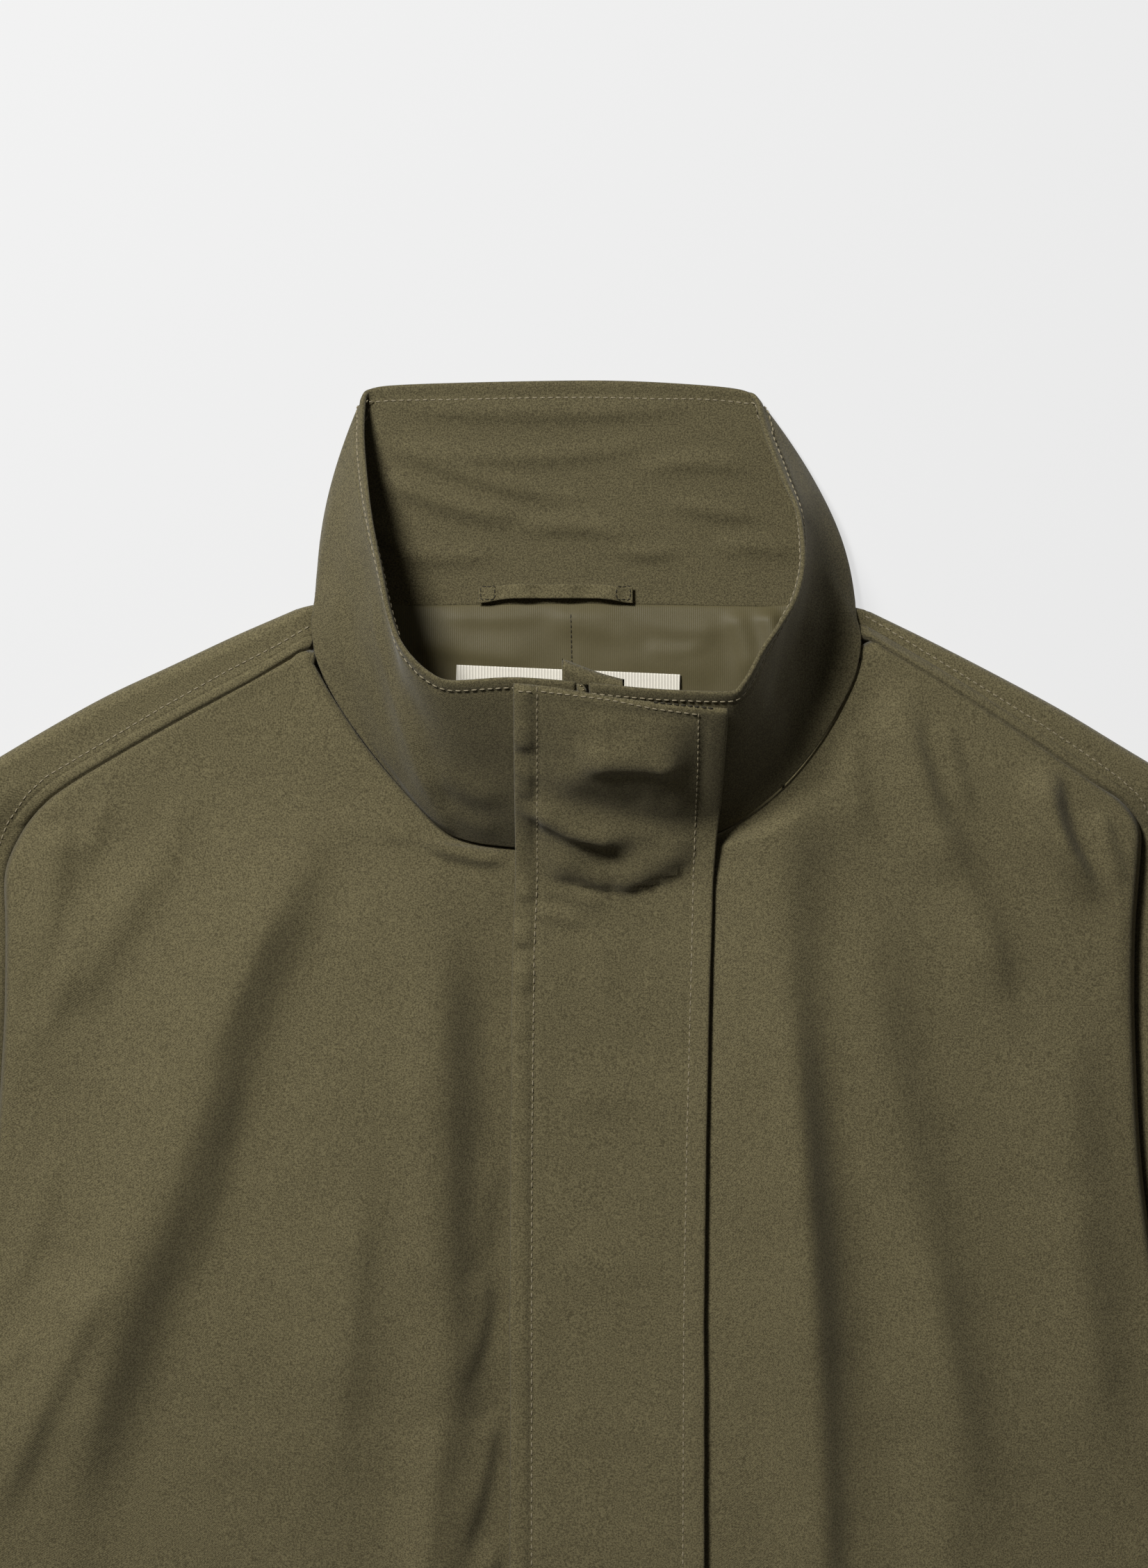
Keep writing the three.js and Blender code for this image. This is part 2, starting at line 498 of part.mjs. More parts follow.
// A strip that follows the centre front over the collar and down to the hem, moved out by lift.
function centreStrip(name, edges, topAt, { ply, lift, columns, endY, corner, look = SHELL }) {
  const collarRows = 7;
  const bodyRows = 18;
  const points = [];
  for (let i = 0; i < collarRows; i += 1) {
    points.push(Array.from({ length: columns }, (_, j) => {
      const s = j / (columns - 1);
      const v = mix(topAt(s), corner.v, i / (collarRows - 1));
      const y = 200 + 40 * v;
      return collarFront(mix(edges(y).sewn, edges(y).free, s), v);
    }));
  }
  for (let i = 0; i < bodyRows; i += 1) {
    const y = mix(corner.y, endY, (i / (bodyRows - 1)) ** 1.3);
    points.push(Array.from({ length: columns }, (_, j) => {
      const s = j / (columns - 1);
      const x = mix(edges(y).sewn, edges(y).free, s);
      return new THREE.Vector3(x, y, centreZ(x, y) + (edges(y).lift ?? 0) * s ** 3);
    }));
  }
  return wall(name, points, ply, look, lift);
}

function build() {
  const jacket = new THREE.Group();
  jacket.name = 'jacket';
  const leftSleeve = [...SLEEVE_LEFT, ...SLEEVE_LOWER];
  const rightSleeve = [...SLEEVE_RIGHT, ...SLEEVE_LOWER.map(mirrored)];
  jacket.add(back('back', 20, 25));
  jacket.add(front('front_right', FRONT_RIGHT, 42, 13, -1));
  jacket.add(front('front_left', FRONT_LEFT, 42, 13, 1));
  jacket.add(...sleeve('sleeve_right', rightSleeve, 32, 10, -1));
  jacket.add(...sleeve('sleeve_left', leftSleeve, 32, 10, 1));
  jacket.add(collarWall('collar', 2, 8));

  const onTop = DOUBLE + 2 * GAP;
  const placketEdges = (y) => Object.fromEntries(
    ['sewn', 'free', 'lift'].map((name) => [name, atY(PLACKET_EDGES, name, y)]));
  const placketTop = (s) => mix(PLACKET_TOP.sewn, PLACKET_TOP.free, s);
  const placketPly = { ply: DOUBLE, lift: onTop, columns: 6, endY: HEM_Y, corner: BRIDGED };
  jacket.add(centreStrip('placket', placketEdges, placketTop, placketPly));
  const guardEdges = () => ({ sewn: GUARD.left, free: GUARD.right });
  const guardTop = (s) => 1 + mix(GUARD.riseLeft, GUARD.riseRight, s) / COLLAR_TALL;
  const guardPly = { ply: DOUBLE, lift: -onTop - GAP, columns: 4, endY: HEM_Y + 4, corner: TUCKED };
  jacket.add(centreStrip('zip_guard', guardEdges, guardTop, guardPly));
  const zipEdges = () => ({ sewn: GAP - ZIP_HALF, free: ZIP_HALF - GAP });
  const zipPly = { ply: PLY, lift: 0, columns: 2, endY: HEM_Y + 2, corner: TUCKED, look: ZIP_METAL };
  jacket.add(centreStrip('zip', zipEdges, () => ZIP_TOP, zipPly));

  const liningZ = PLY + GAP + LINING_PLY / 2;
  jacket.add(wall('lining', grid(4, 6, (v, u) => {
    const half = mix(LINING.halfTop, LINING.halfLow, v);
    return new THREE.Vector3(mix(-half, half, u), mix(LINING.top, LINING.low, v), liningZ);
  }), LINING_PLY, LINING_CLOTH));
  const labelZ = liningZ + LINING_PLY / 2 + GAP + LABEL_PLY / 2;
  jacket.add(wall('label', grid(2, 3, (v, u) => {
    const [x, y] = [(u - 0.5) * LABEL.wide, (0.5 - v) * LABEL.tall];
    const [c, s] = [Math.cos(LABEL.turn), Math.sin(LABEL.turn)];
    return new THREE.Vector3(LABEL.x + x * c - y * s, LABEL.y + x * s + y * c, labelZ);
  }), LABEL_PLY, LABEL_CLOTH));
  const loopZ = DOUBLE + GAP + LOOP.ply / 2;
  jacket.add(wall('hanger_loop', grid(2, 13, (v, u) => new THREE.Vector3(
    mix(LOOP.left, LOOP.right, u),
    LOOP.y + (0.5 - v) * LOOP.wide,
    loopZ + LOOP.slack * smooth(u * 5) * smooth((1 - u) * 5),
  )), LOOP.ply, SHELL));
  return jacket;
}

export default build();
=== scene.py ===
"""An olive cotton jacket laid on its back, seen from above. Tables are in millimetres, Blender in metres."""

import math

import bpy
import numpy as np
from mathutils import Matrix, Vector
from mathutils.bvhtree import BVHTree


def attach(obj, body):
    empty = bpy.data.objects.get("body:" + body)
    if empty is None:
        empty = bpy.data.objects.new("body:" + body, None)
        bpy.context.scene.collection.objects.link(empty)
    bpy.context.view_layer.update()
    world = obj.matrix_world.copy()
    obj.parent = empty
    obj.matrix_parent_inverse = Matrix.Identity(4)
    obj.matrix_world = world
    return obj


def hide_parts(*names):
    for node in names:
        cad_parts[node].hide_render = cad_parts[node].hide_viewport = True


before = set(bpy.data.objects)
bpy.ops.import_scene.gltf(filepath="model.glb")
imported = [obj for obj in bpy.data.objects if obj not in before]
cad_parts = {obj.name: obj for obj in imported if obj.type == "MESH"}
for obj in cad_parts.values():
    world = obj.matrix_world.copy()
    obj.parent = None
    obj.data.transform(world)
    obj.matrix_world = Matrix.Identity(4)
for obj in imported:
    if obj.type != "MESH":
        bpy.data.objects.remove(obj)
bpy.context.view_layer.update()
MM = 0.001

# Cloth and seams
PLY = 1.4  # one layer of cloth with its seam allowances
DOUBLE = 2.0  # two layers sewn together
THIN = 0.45  # half the shown thickness of one layer
GAP = 0.3  # air between pieces that lie on each other
SEAM = 0.35  # from a front's edge to the seam line in its table
MIDDLE = np.array([0.0, 1.6, 0.0])  # middle of the laid jacket's outline in these tables
HEM_Y = -390.0
ARMPIT_Y = -17.0
ZIP_HALF = 2.8  # from the middle to a front's edge
CURL = 5.0  # width over which a front turns down to its outer seams
SIDE_Z = 3.1  # height of the side seams
NECK_HALF = 88.0  # half the back's neck seam, and where it lies
NECK_Y = 309.1
SADDLE_END_Y = 214.0  # above it the sleeve's seam carries a stitched ridge

# Grid spacing of fronts and sleeves, and the y below which it doubles
FRONT_GRID = (1.7, -125.0)
SLEEVE_GRID = (1.9, 150.0)
STRIP_GRID_Y = -130.0  # below it rows of placket, zip guard and zip lie 2.2 times as far apart
# Points down or round a piece and across it
FRONT_ACROSS = 118
SLEEVE_ACROSS = (56, 11, 26)  # upper side, fold and under side
BACK_GRID = (70, 80)
COLLAR_GRID = (330, 64)
PLACKET_ACROSS = 54
LINING_GRID = (70, 110)

# Where pieces meet
FULL_CURL_SHARE = 0.4  # the curl's greatest share of a short row
TUCK = (1.8, 0.9)  # steps by which an edge goes on under the next piece
FRONT_CALM = (26, 14)  # folds fade out this far from the inner and the outer seam
SLEEVE_CALM = (20, 24)
SHOULDER_GROOVE = (1.6, 1.5)  # half width and depth
NECK_GROOVE = (1.4, 0.9)
SLEEVE_GROOVE = (1.0, 0.8)
SADDLE_GROOVE = (0.7, 0.35)
RIM_GROOVE = (0.8, 0.5)
SADDLE_RIDGE = (3.2, 2.6, 0.55)  # middle, half width and height

# Sleeve sections, neck to armpit: front seam x y, outline fold x y, back seam x y, seam height, top height
SLEEVE_LEFT = [
    (125.2, 294, 122.8, 306.6, 99, 304.2, 12.6, 11),
    (145, 281.9, 150, 293.6, 138.9, 272.3, 12.6, 11.5),
    (170, 266.3, 178, 279.3, 167, 258, 12.6, 11.5),
    (197, 248.6, 207, 263.7, 196, 242.4, 12.4, 11.5),
    (221.1, 232.2, 233, 248, 219, 227, 11.6, 11),
    (235, 222.6, 260, 231.5, 232, 214, 8.5, 10.5),
    (242.6, 209, 290, 211.5, 238, 197, 4.6, 10),
    (241.4, 190, 318, 189.5, 240, 176, 3.2, 10),
    (239.5, 160, 350, 158, 239, 148, 3, 10),
    (240, 115, 384, 112, 240.5, 110, 3, 10),
    (242.4, 70, 402, 80, 244.5, 66, 3, 10),
    (248, 20, 420.5, 46, 250, 18, 3, 10),
    (259, -17, 433, 22, 263.6, -17.6, 2.9, 10),
]
SLEEVE_RIGHT = [
    (-122.4, 288.6, -122, 307.6, -96.5, 304.6, 12.6, 11),
    (-143, 276, -149, 296.2, -138, 275, 12.6, 11.5),
    (-168, 262.7, -178, 282.6, -167, 261.5, 12.6, 11.5),
    (-194, 248, -206, 269.5, -195, 248, 12.4, 11.5),
    (-220, 232.6, -234, 253.9, -222, 231, 11.6, 11),
    (-234, 222, -262, 237, -234, 217, 8.5, 10.5),
    (-244, 209, -292, 217, -241, 199, 4.6, 10),
    (-250.8, 190, -320, 193, -246.5, 178, 3.2, 10),
    (-250, 160, -352, 160, -248, 150, 3, 10),
    (-251.5, 115, -386, 114, -250.5, 110, 3, 10),
    (-254.5, 70, -404, 81, -253.5, 66, 3, 10),
    (-259, 20, -422, 47, -258.5, 18, 3, 10),
    (-267, -17, -436, 22, -267.6, -17.6, 2.9, 10),
]
SLEEVE_LOWER = [
    (278.5, -66, 445.5, -28, 279.2, -66.2, 2.9, 10),
    (294, -113.6, 455.5, -75.2, 294.8, -113.8, 2.9, 10),
    (324, -210.2, 477, -172.5, 324.8, -210.4, 2.9, 9.5),
    (354.4, -306.8, 498.5, -269.8, 355.2, -307, 2.9, 9),
    (384.8, -403.3, 520, -367, 385.6, -403.1, 2.9, 8),
]
BACK_SHOULDER_ROWS = 8  # rows of a sleeve's table along the back's shoulder

# Front sections, neck point to the zip's top: inner x y, outer x y, heights inside, between and outside
FRONT_LEFT = [
    (122, 286, 130.5, 290.4, 12.5, 12.5, 12.6),
    (116.4, 270.8, 158, 273.9, 13.5, 12.5, 12.6),
    (106.5, 252.3, 184, 257.2, 14.5, 13, 12.5),
    (92.1, 233.6, 206, 242.5, 15.5, 13, 12),
    (76, 219.3, 222, 231.6, 16, 13, 11),
    (58.8, 209.3, 235, 222.6, 16.2, 13, 8.6),
    (38, 204.2, 242.6, 209, 16.2, 13, 5.2),
    (18, 201.8, 241.4, 190, 16.2, 13, 4.2),
]
FRONT_RIGHT = [
    (-117.4, 283.6, -126, 285.8, 12.5, 12.5, 12.6),
    (-109, 268.6, -156, 269.1, 13.5, 12.5, 12.6),
    (-94.5, 247.3, -184, 253.7, 14.5, 13, 12.5),
    (-77.5, 227.5, -206, 241, 15.5, 13, 12),
    (-61, 211.1, -222, 231.3, 16, 13, 11),
    (-46.7, 205.1, -234, 222, 16.2, 13, 8.6),
    (-28, 202.7, -244, 209, 16.2, 13, 5.2),
    (-14, 201.4, -250.8, 190, 16.2, 13, 4.2),
]
# And on down the zip to the hem: inner y, outer y, outer x left and right, the same heights
FRONT_LOWER = [
    (200.6, 168, 239.8, 250.2, 16.2, 13, 4.2),
    (172, 140, 239.4, 250.4, 13.5, 13, 4.2),
    (115, 115, 240, 251.5, 11, 13, 4.2),
    (60, 60, 243.2, 255.4, 10, 13, 4.2),
    (0, 0, 251.5, 262, 9.5, 12.5, 4.2),
    (-60, -60, 261, 266, 9, 12, SIDE_Z),
    (-140, -140, 266.5, 268.5, 9, 11.5, SIDE_Z),
    (-220, -220, 269.5, 271, 9, 11, SIDE_Z),
    (-300, -300, 272.5, 273, 9, 10.5, SIDE_Z),
    (HEM_Y, HEM_Y, 275, 275, 9, 10, SIDE_Z),
]
FRONT_LEFT += [(ZIP_HALF, a, x, b, *z) for a, b, x, _, *z in FRONT_LOWER]
FRONT_RIGHT += [(-ZIP_HALF, a, -x, b, *z) for a, b, _, x, *z in FRONT_LOWER]
FRONT_ZIP_ROW = 8  # first row that starts at the zip
FRONT_SIDE_ROW = 13  # first row that ends at the side seam

# Collar sections, from the zip round the right side to the back and on to the zip: base, middle and rim x y z
COLLAR = [
    (-ZIP_HALF, 202.2, 17.5, -ZIP_HALF, 237, 49, -ZIP_HALF, 274.6, 72),
    (-28.8, 204.3, 17.5, -29, 239, 48, -29.4, 276.5, 72),
    (-47.4, 206.7, 17.5, -49, 240, 46, -54, 275.1, 71),
    (-60.3, 212.4, 17, -62, 245, 43, -66, 279.5, 70),
    (-76.5, 228.6, 16.5, -72, 259, 40, -76.5, 290.4, 67),
    (-93, 248.1, 15.5, -80, 280, 37, -82, 303, 62),
    (-107.4, 269.4, 14.5, -89, 302, 33, -86, 322, 55),
    (-115.8, 290, 13, -98, 322, 27, -90, 343, 44),
    (-116.5, 300, 11.5, -105, 338, 18, -92.8, 365, 28),
    (-114.5, 308, 9, -109.5, 347, 10.5, -94.4, 386, 13),
    (-112.2, 313.5, 4.6, -110.2, 352, 4.4, -93.8, 400.5, 4.2),
    (-106, 312, 1, -105, 353, 1, -89, 403.6, 1),
    (-75, 308.4, 1, -72, 356, 1, -60, 405.3, 1),
    (0, 309.3, 1, 2, 357, 1, 4.8, 406.5, 1),
    (79.2, 308, 1, 72, 355, 1, 50, 404.6, 1),
    (110, 310.6, 1, 100, 353.6, 1, 70.6, 402, 1),
    (115.6, 311.8, 3.4, 104.8, 352.6, 3.4, 74.6, 398.8, 3.4),
    (117.2, 309.8, 6, 105.6, 350, 7.5, 78, 385, 12),
    (117.6, 306.5, 8.5, 104, 345, 13, 85, 364.5, 27),
    (118.6, 301, 10.5, 101.5, 335, 19, 92.4, 345.6, 41),
    (120.4, 293.7, 12, 99.5, 323, 23, 94, 328, 51),
    (118.5, 280.5, 13.5, 96, 306, 26, 91, 312, 58),
    (110.4, 262.8, 14.5, 91, 288, 28, 84.3, 300.3, 63),
    (99, 244.8, 15.5, 86, 268, 31, 76.2, 288.9, 67),
    (82.8, 227.6, 16.5, 79, 252, 36, 68.5, 275.5, 70),
    (58.5, 211, 17, 60, 241, 44, 61.5, 270.3, 71),
    (30, 205, 17.5, 30.5, 238, 48, 31, 271.5, 72),
    (ZIP_HALF, 202.2, 17.5, ZIP_HALF, 237, 49, ZIP_HALF, 274.2, 72),
]
COLLAR_TALL = 95.0
COLLAR_FRONT = (slice(0, 9), slice(-8, None))  # rows along the front neck seam, right and left
COLLAR_BACK = slice(10, 18)  # and along the back's

# Large folds: crest from start over middle to end, width left and right of it, height
FOLDS = [
    (-104, 228, -166, 96, -240, -150, 15, 34, 9),
    (-62, 205, -94, 90, -104, -180, 26, 38, 6),
    (-226, 216, -228, 190, -236, 140, 8, 10, 3),
    (-184, 200, -205, 165, -228, 128, 10, 12, 3),
    (-206, 24, -228, -24, -262, -100, 8, 20, 5),
    (88, 240, 88, 120, 118, -150, 18, 30, 8),
    (116, 196, 138, 66, 184, -150, 16, 18, 6),
    (132, 284, 145, 232, 161, 184, 9, 12, 4),
    (150, 226, 168, 178, 186, 136, 9, 10, 3.5),
    (203, 244, 207, 210, 226, 178, 4, 10, 5),
    (206, 150, 214, 40, 232, -90, 14, 18, 4),
    (-168, -190, -176, -290, -190, -380, 16, 22, 4),
    (-86, -200, -92, -300, -96, -385, 16, 20, 3),
    (96, -190, 100, -290, 104, -385, 18, 18, 4),
    (196, -170, 204, -270, 214, -372, 16, 20, 4),
    (300, 160, 340, 30, 372, -90, 16, 22, 5),
    (352, -96, 392, -120, 440, -120, 12, 16, 4),
    (356, -150, 400, -158, 446, -176, 12, 14, 3),
    (404, -210, 424, -290, 446, -360, 14, 18, 3),
    (-312, 150, -350, 24, -380, -80, 18, 20, 5),
    (-346, -84, -392, -112, -446, -104, 14, 12, 4),
    (-362, -148, -404, -166, -452, -164, 12, 12, 3),
    (-412, -220, -428, -294, -440, -356, 16, 16, 3),
]
# Finer creases, in the same columns
CREASES = [
    (-72, 208, -50, 200.5, -30, 198.5, 6, 3, 2.2),
    (-46, 22, -43, 0, -56, -36, 3, 8, 1.8),
    (-40, -40, -42, -64, -55, -108, 3, 8, 2.2),
    (-36, -92, -44, -118, -62, -150, 3, 7, 2),
    (-64, -40, -66, -84, -76, -150, 6, 10, 2.4),
    (-38, 80, -41, 50, -44, 26, 4, 6, 0.9),
    (-74, 120, -70, 66, -66, 0, 10, 14, 1.5),
    (-130, 190, -150, 140, -172, 96, 5, 9, 1),
    (-170, 230, -178, 205, -190, 180, 6, 8, 0.9),
    (-206, 228, -210, 210, -216, 196, 4, 6, 1.2),
    (-214, 190, -222, 150, -240, 110, 5, 9, 1.4),
    (-228, 80, -236, 40, -252, 0, 6, 9, 1.6),
    (-236, 0, -246, -16, -262, -26, 5, 5, 1.4),
    (112, 262, 116, 236, 124, 204, 6, 10, 1.6),
    (156, 262, 160, 240, 170, 214, 4, 7, 1.6),
    (198, 240, 203, 216, 216, 190, 3, 7, 2.2),
    (222, 222, 228, 204, 236, 184, 3, 6, 2),
    (236, 180, 233, 160, 234, 128, 5, 5, 1),
    (140, 262, 147, 236, 156, 212, 4, 8, 1.2),
    (170, 176, 178, 150, 190, 118, 6, 8, 1),
    (70, 150, 74, 90, 72, 20, 7, 9, 1),
    (148, 40, 158, -20, 172, -80, 8, 8, 1.2),
    (208, 60, 214, 10, 226, -50, 8, 8, 1.2),
    (62, 176, 66, 120, 64, 60, 4, 8, 1),
    (-63, 180, -60, 60, -59, -150, 13, 18, 8.2),
    (-60, -40, -61, -220, -63, -384, 12, 18, 7.4),
    (-190, 60, -206, -10, -222, -80, 9, 14, 2.6),
    (84, 190, 99, -20, 105, -190, 9, 14, 6.2),
    (104, -100, 110, -240, 112, -384, 10, 14, 5.4),
    (150, -40, 160, -160, 162, -330, 10, 14, 2.4),
    (-150, 120, -160, 70, -176, 10, 8, 12, 1.6),
    (-96, 60, -100, 0, -110, -90, 7, 12, 1.6),
]
# Folds of the collar's outer face, seen from above
COLLAR_SIDE_FOLDS = [
    (-92, 324, -75, 264, -50, 192, 3.6, 13, 4.8),
    (-66, 244, -50, 230, -30, 226, 6, 5, 1.3),
    (-60, 226, -48, 216, -32, 214, 4, 4, 1),
    (-98, 300, -86, 262, -78, 234, 5, 8, 1.2),
    (-106, 322, -104, 296, -100, 272, 5, 6, 0.9),
    (98, 318, 96, 286, 84, 252, 6, 6, 1.2),
    (108, 316, 110, 292, 104, 268, 5, 6, 1),
]
# Wrinkles across the inside of the collar's back
COLLAR_FOLDS = [
    (-90, 396, -20, 392, 60, 396, 5, 3.5, 1.2),
    (-88, 380, -30, 373, 40, 381, 4, 4, 1.1),
    (-92, 368, -60, 354, -20, 345, 4, 4.5, 2.3),
    (-84, 382, -50, 366, 10, 352, 3.5, 4, 1.6),
    (-30, 340, 0, 343, 30, 334, 5, 3.5, 1.5),
    (38, 354, 56, 350, 76, 346, 3.5, 3.5, 1.6),
    (14, 338, 26, 331, 40, 336, 3, 3, 1.6),
    (20, 366, 50, 371, 74, 366, 4, 4, 1.2),
    (-84, 336, -60, 330, -34, 333, 4, 4, 1.1),
    (56, 331, 76, 335, 94, 328, 4, 4, 1.3),
    (-96, 350, -80, 336, -58, 322, 4, 4, 1.2),
]
# Wrinkles of the placket over the neck seam
PLACKET_FOLDS = [
    (-4, 241, 20, 243.5, 50, 241, 12, 4.4, 5.5),
    (-26, 222, -4, 215, 24, 206, 7, 3.8, 5),
    (-20, 197, 0, 194, 18, 186.5, 8, 4, 5),
    (12, 188, 28, 195, 54, 209, 10, 4.6, 5.5),
    (-22, 176, -10, 174.5, 4, 171, 4, 3, 1.3),
    (-20, 206, -8, 204, 6, 198, 4, 3, 1),
    (22, 226, 34, 222, 48, 226, 6, 5, 1),
    (-14, 258, 2, 256, 20, 259, 5, 5, 0.9),
    (-22, 236, 14, 237, 50, 234, 9, 10, 3.6),
    (-22, 213, 10, 211, 48, 214, 5, 9, 3.4),
    (-20, 252, 4, 247, 30, 250, 4, 4, 0.9),
    (30, 246, 40, 236, 48, 222, 4, 5, 1.4),
    (-22, 188, -4, 184, 12, 178, 4, 4, 1.4),
    (4, 168, 8, 156, 14, 140, 4, 6, 0.8),
    (-10, 100, 8, 96, 30, 99, 10, 7, 0.9),
    (-12, 30, 8, 24, 34, 28, 12, 9, 0.9),
    (-14, -40, 10, -46, 36, -42, 12, 9, 0.8),
]
# Soft folds of the lining below the collar
LINING_FOLDS = [
    (-88, 296, -50, 289, -10, 284, 9, 5, 2),
    (-20, 304, 6, 300, 30, 292, 8, 6, 1.5),
    (6, 290, 36, 284, 64, 286, 8, 8, 1.5),
    (20, 304, 44, 298, 64, 300, 4, 5, 1.2),
    (-66, 306, -40, 303, -12, 306, 4, 4, 0.9),
    (24, 292, 40, 289, 58, 293, 3, 3, 0.8),
    (62, 308, 70, 294, 72, 272, 6, 5, 2.6),
    (76, 312, 83, 296, 82, 272, 3.5, 6, 3.8),
    (-86, 304, -82, 290, -70, 276, 5, 6, 2),
]
RELIEF = 1.3  # scale of the fold and crease tables
RUMPLES = ((0.8, 46, 1), (0.34, 19, 2), (0.1, 8, 3))  # height, size and seed of the unevenness
FOLD_POINTS = 15
FOLD_REACH = 2.6  # how far from its crest a fold counts, in widths
FOLD_END = 0.3  # share of its length over which each end fades

# Placket edges down its length: y, sewn edge x, free edge x, how far the free edge stands off
PLACKET_EDGES = [
    (240, -28.6, 58.4, 0.6),
    (192, -28.8, 57.2, 0.8),
    (161, -30.2, 56.6, 1),
    (77, -31.2, 54.5, 1.2),
    (0, -31.4, 53.2, 1.8),
    (-107, -31.4, 52.8, 2.4),
    (HEM_Y, -31.4, 52.8, 1.6),
]
PLACKET_TOP = (0.985, 0.92)  # share of the collar's height reached at the sewn and the free edge
PLACKET_WIDE = 88.0

# Stitching
STITCH_ROW = 9.4  # from the placket's edges
EDGE_ROW = 6.0  # from the collar's rim and the shoulder seam
HEM_ROW = 20.0  # from the hem and the cuffs
RAISED = 0.15  # thread's middle over the cloth
PATH_STEP = 0.8
SHORTEST_LINE = 8  # points; a shorter one found no cloth to lie on
WANDER = 0.035  # unevenness of the stitches, in pitches
THREAD_HIGH = 0.42
# Pitch, length and width of a stitch
STITCH = (3.4, 2.5, 0.66)
DARK_STITCH = (2.2, 1.8, 0.5)
# The row along the placket's upper edge, drawn dark as painted shade for the shadow at that edge
EDGE_STITCH_IN_PAINTED_SHADE = (2.9, 2.3, 0.8)
# Shoulder seams with the stitching beside them, neck to armhole
SHOULDER_ROW_RIGHT = [
    (-117.3, 300), (-132, 291.3), (-151.8, 281.1), (-181.8, 264.3), (-206.7, 249.3),
    (-231.6, 234.6), (-240, 227), (-249, 214), (-256.5, 194), (-257.5, 160), (-258.5, 115),
    (-262, 70), (-268, 20), (-276, -12),
]
SHOULDER_ROW_LEFT = [
    (121.5, 304.5), (131.4, 298.8), (152.4, 285.9), (173.7, 272.7), (194.7, 259.5),
    (216, 245.4), (231.6, 234.3), (241, 226), (248, 212), (250, 190), (247.5, 160),
    (248.5, 115), (252.5, 70), (259, 20), (272, -12),
]
# Across the placket's top, along its upper edge, over a front's hem and cuff, and down the lining
PLACKET_TOP_ROWS = [
    [(-18.5, 270.6), (10.8, 267.0), (30.3, 263.2), (48.5, 260.8)],
    [(-28, 270.6), (-19.5, 270.2)],
]
PLACKET_EDGE_ROW = [(-17.5, 273.0), (-3.6, 271.9), (10.8, 270.2), (30.3, 266.0), (55.5, 263.4)]
PLACKET_ROWS = ((STITCH_ROW, 275), (-STITCH_ROW, 262))  # distance across, upper end
TACK = (1.0, 6.0, 2.6, -2.8)  # inset, width, top and bottom of a tack on the loop
HEM_LINE = [(8, HEM_Y + HEM_ROW), (268, HEM_Y + HEM_ROW)]
CUFF_LINE = [(382, -383), (512, -348)]
LINING_LINE = [(-5.0, 305.5), (-3.0, 200)]

LINING = (92.0, 84.0, 190.0)  # half its width at the neck seam and at the lower edge, that edge's y
LINING_CUT = (117.0, 184.0)  # its height and width
LABEL = (-6.8, 261.0, 97.0, 40.0, -0.043)  # centre x y, width, height, turn
LABEL_Z = PLY + GAP + 1.2 + GAP + 2.2  # on the lining's folds
LOOP = (-45.0, 21.9, 314.2, 7.2, 1.8)  # left and right end, y, width, slack
TEETH = (0.8, 1.9, 0.55)  # start, spacing and distance from the middle
TOOTH = (0.55, 1.2, 0.75)  # along the zip, across it and high

# Linear colours
OLIVE_LIGHT = (0.196, 0.166, 0.083)
OLIVE_DARK = (0.076, 0.062, 0.028)
COLLAR_PAINTED_SHADE = 0.86  # painted shade: the collar's cloth is the rest's, darkened by this share
LINING_COLOUR = (0.118, 0.099, 0.047)
LABEL_COLOUR = (0.94, 0.89, 0.76)
THREAD_COLOUR = (0.36, 0.305, 0.19)
# Dark thread; the same dark also serves as painted shade on the row along the placket's upper edge
DARK_STITCH_AND_SHADE_COLOUR = (0.045, 0.037, 0.018)
BRASS = (0.40, 0.32, 0.19)
FLOOR_COLOUR = (0.2, 0.2, 0.2)
WHITE = (1, 1, 1)

# Spacing of ribs and threads, in metres
TWILL_PITCH = 0.00078
SATIN_PITCH = 0.0009
LABEL_PITCH = 0.0013

# The studio, in metres: place, size and power of the lights
LIGHTS = {"key": ((-1.05, 1.5, 1.95), 0.6, 66), "fill": ((0.9, 0.6, 2.6), 2.4, 0.9)}
AIM = (0, 0.15, 0)  # where they point
WORLD_LIGHT = 0.04
FLOOR_GLOW = 0.66
FLOOR_SIZE = 60
FLOOR_Z = -0.0006

# The photograph's size and the tables' origin in it, in pixels of PIXEL mm
PHOTO = (1652, 2257)
PHOTO_ORIGIN = (838, 1900)
PIXEL = 0.3
SENSOR = 36
CAMERA_HEIGHT = 2.6
SCALE_HEIGHT = 0.012  # where the picture's scale holds, about the fronts' height


def smooth(t):
    s = np.clip(t, 0, 1)
    return s * s * (3 - 2 * s)


def mix(a, b, t):
    return a + (b - a) * t


def bell(distance, width, power=2):
    """1 at distance 0, falling off within width. A higher power gives a flatter top."""
    return np.exp(-((distance / width) ** power))


def round_over(t):
    """A quarter circle's height, from 0 at t = 0 to 1 at t = 1."""
    return np.sqrt(1 - (1 - np.clip(t, 0, 1)) ** 2)


def groove(distance, size):
    half_width, depth = size
    return depth * bell(distance, half_width)


def unit(vectors):
    return vectors / np.linalg.norm(vectors, axis=-1, keepdims=True)


def between(a, b, share):
    """x and y of points on the lines from a to b."""
    return mix(a[:, :1], b[:, :1], share), mix(a[:, 1:], b[:, 1:], share)


def limited(slope, rise, other):
    """Keeps a slope from overshooting where rows are unevenly spaced."""
    most = 2 * np.minimum(abs(rise), abs(other))
    return np.where(rise * other <= 0, 0, np.sign(slope) * np.minimum(abs(slope), most))


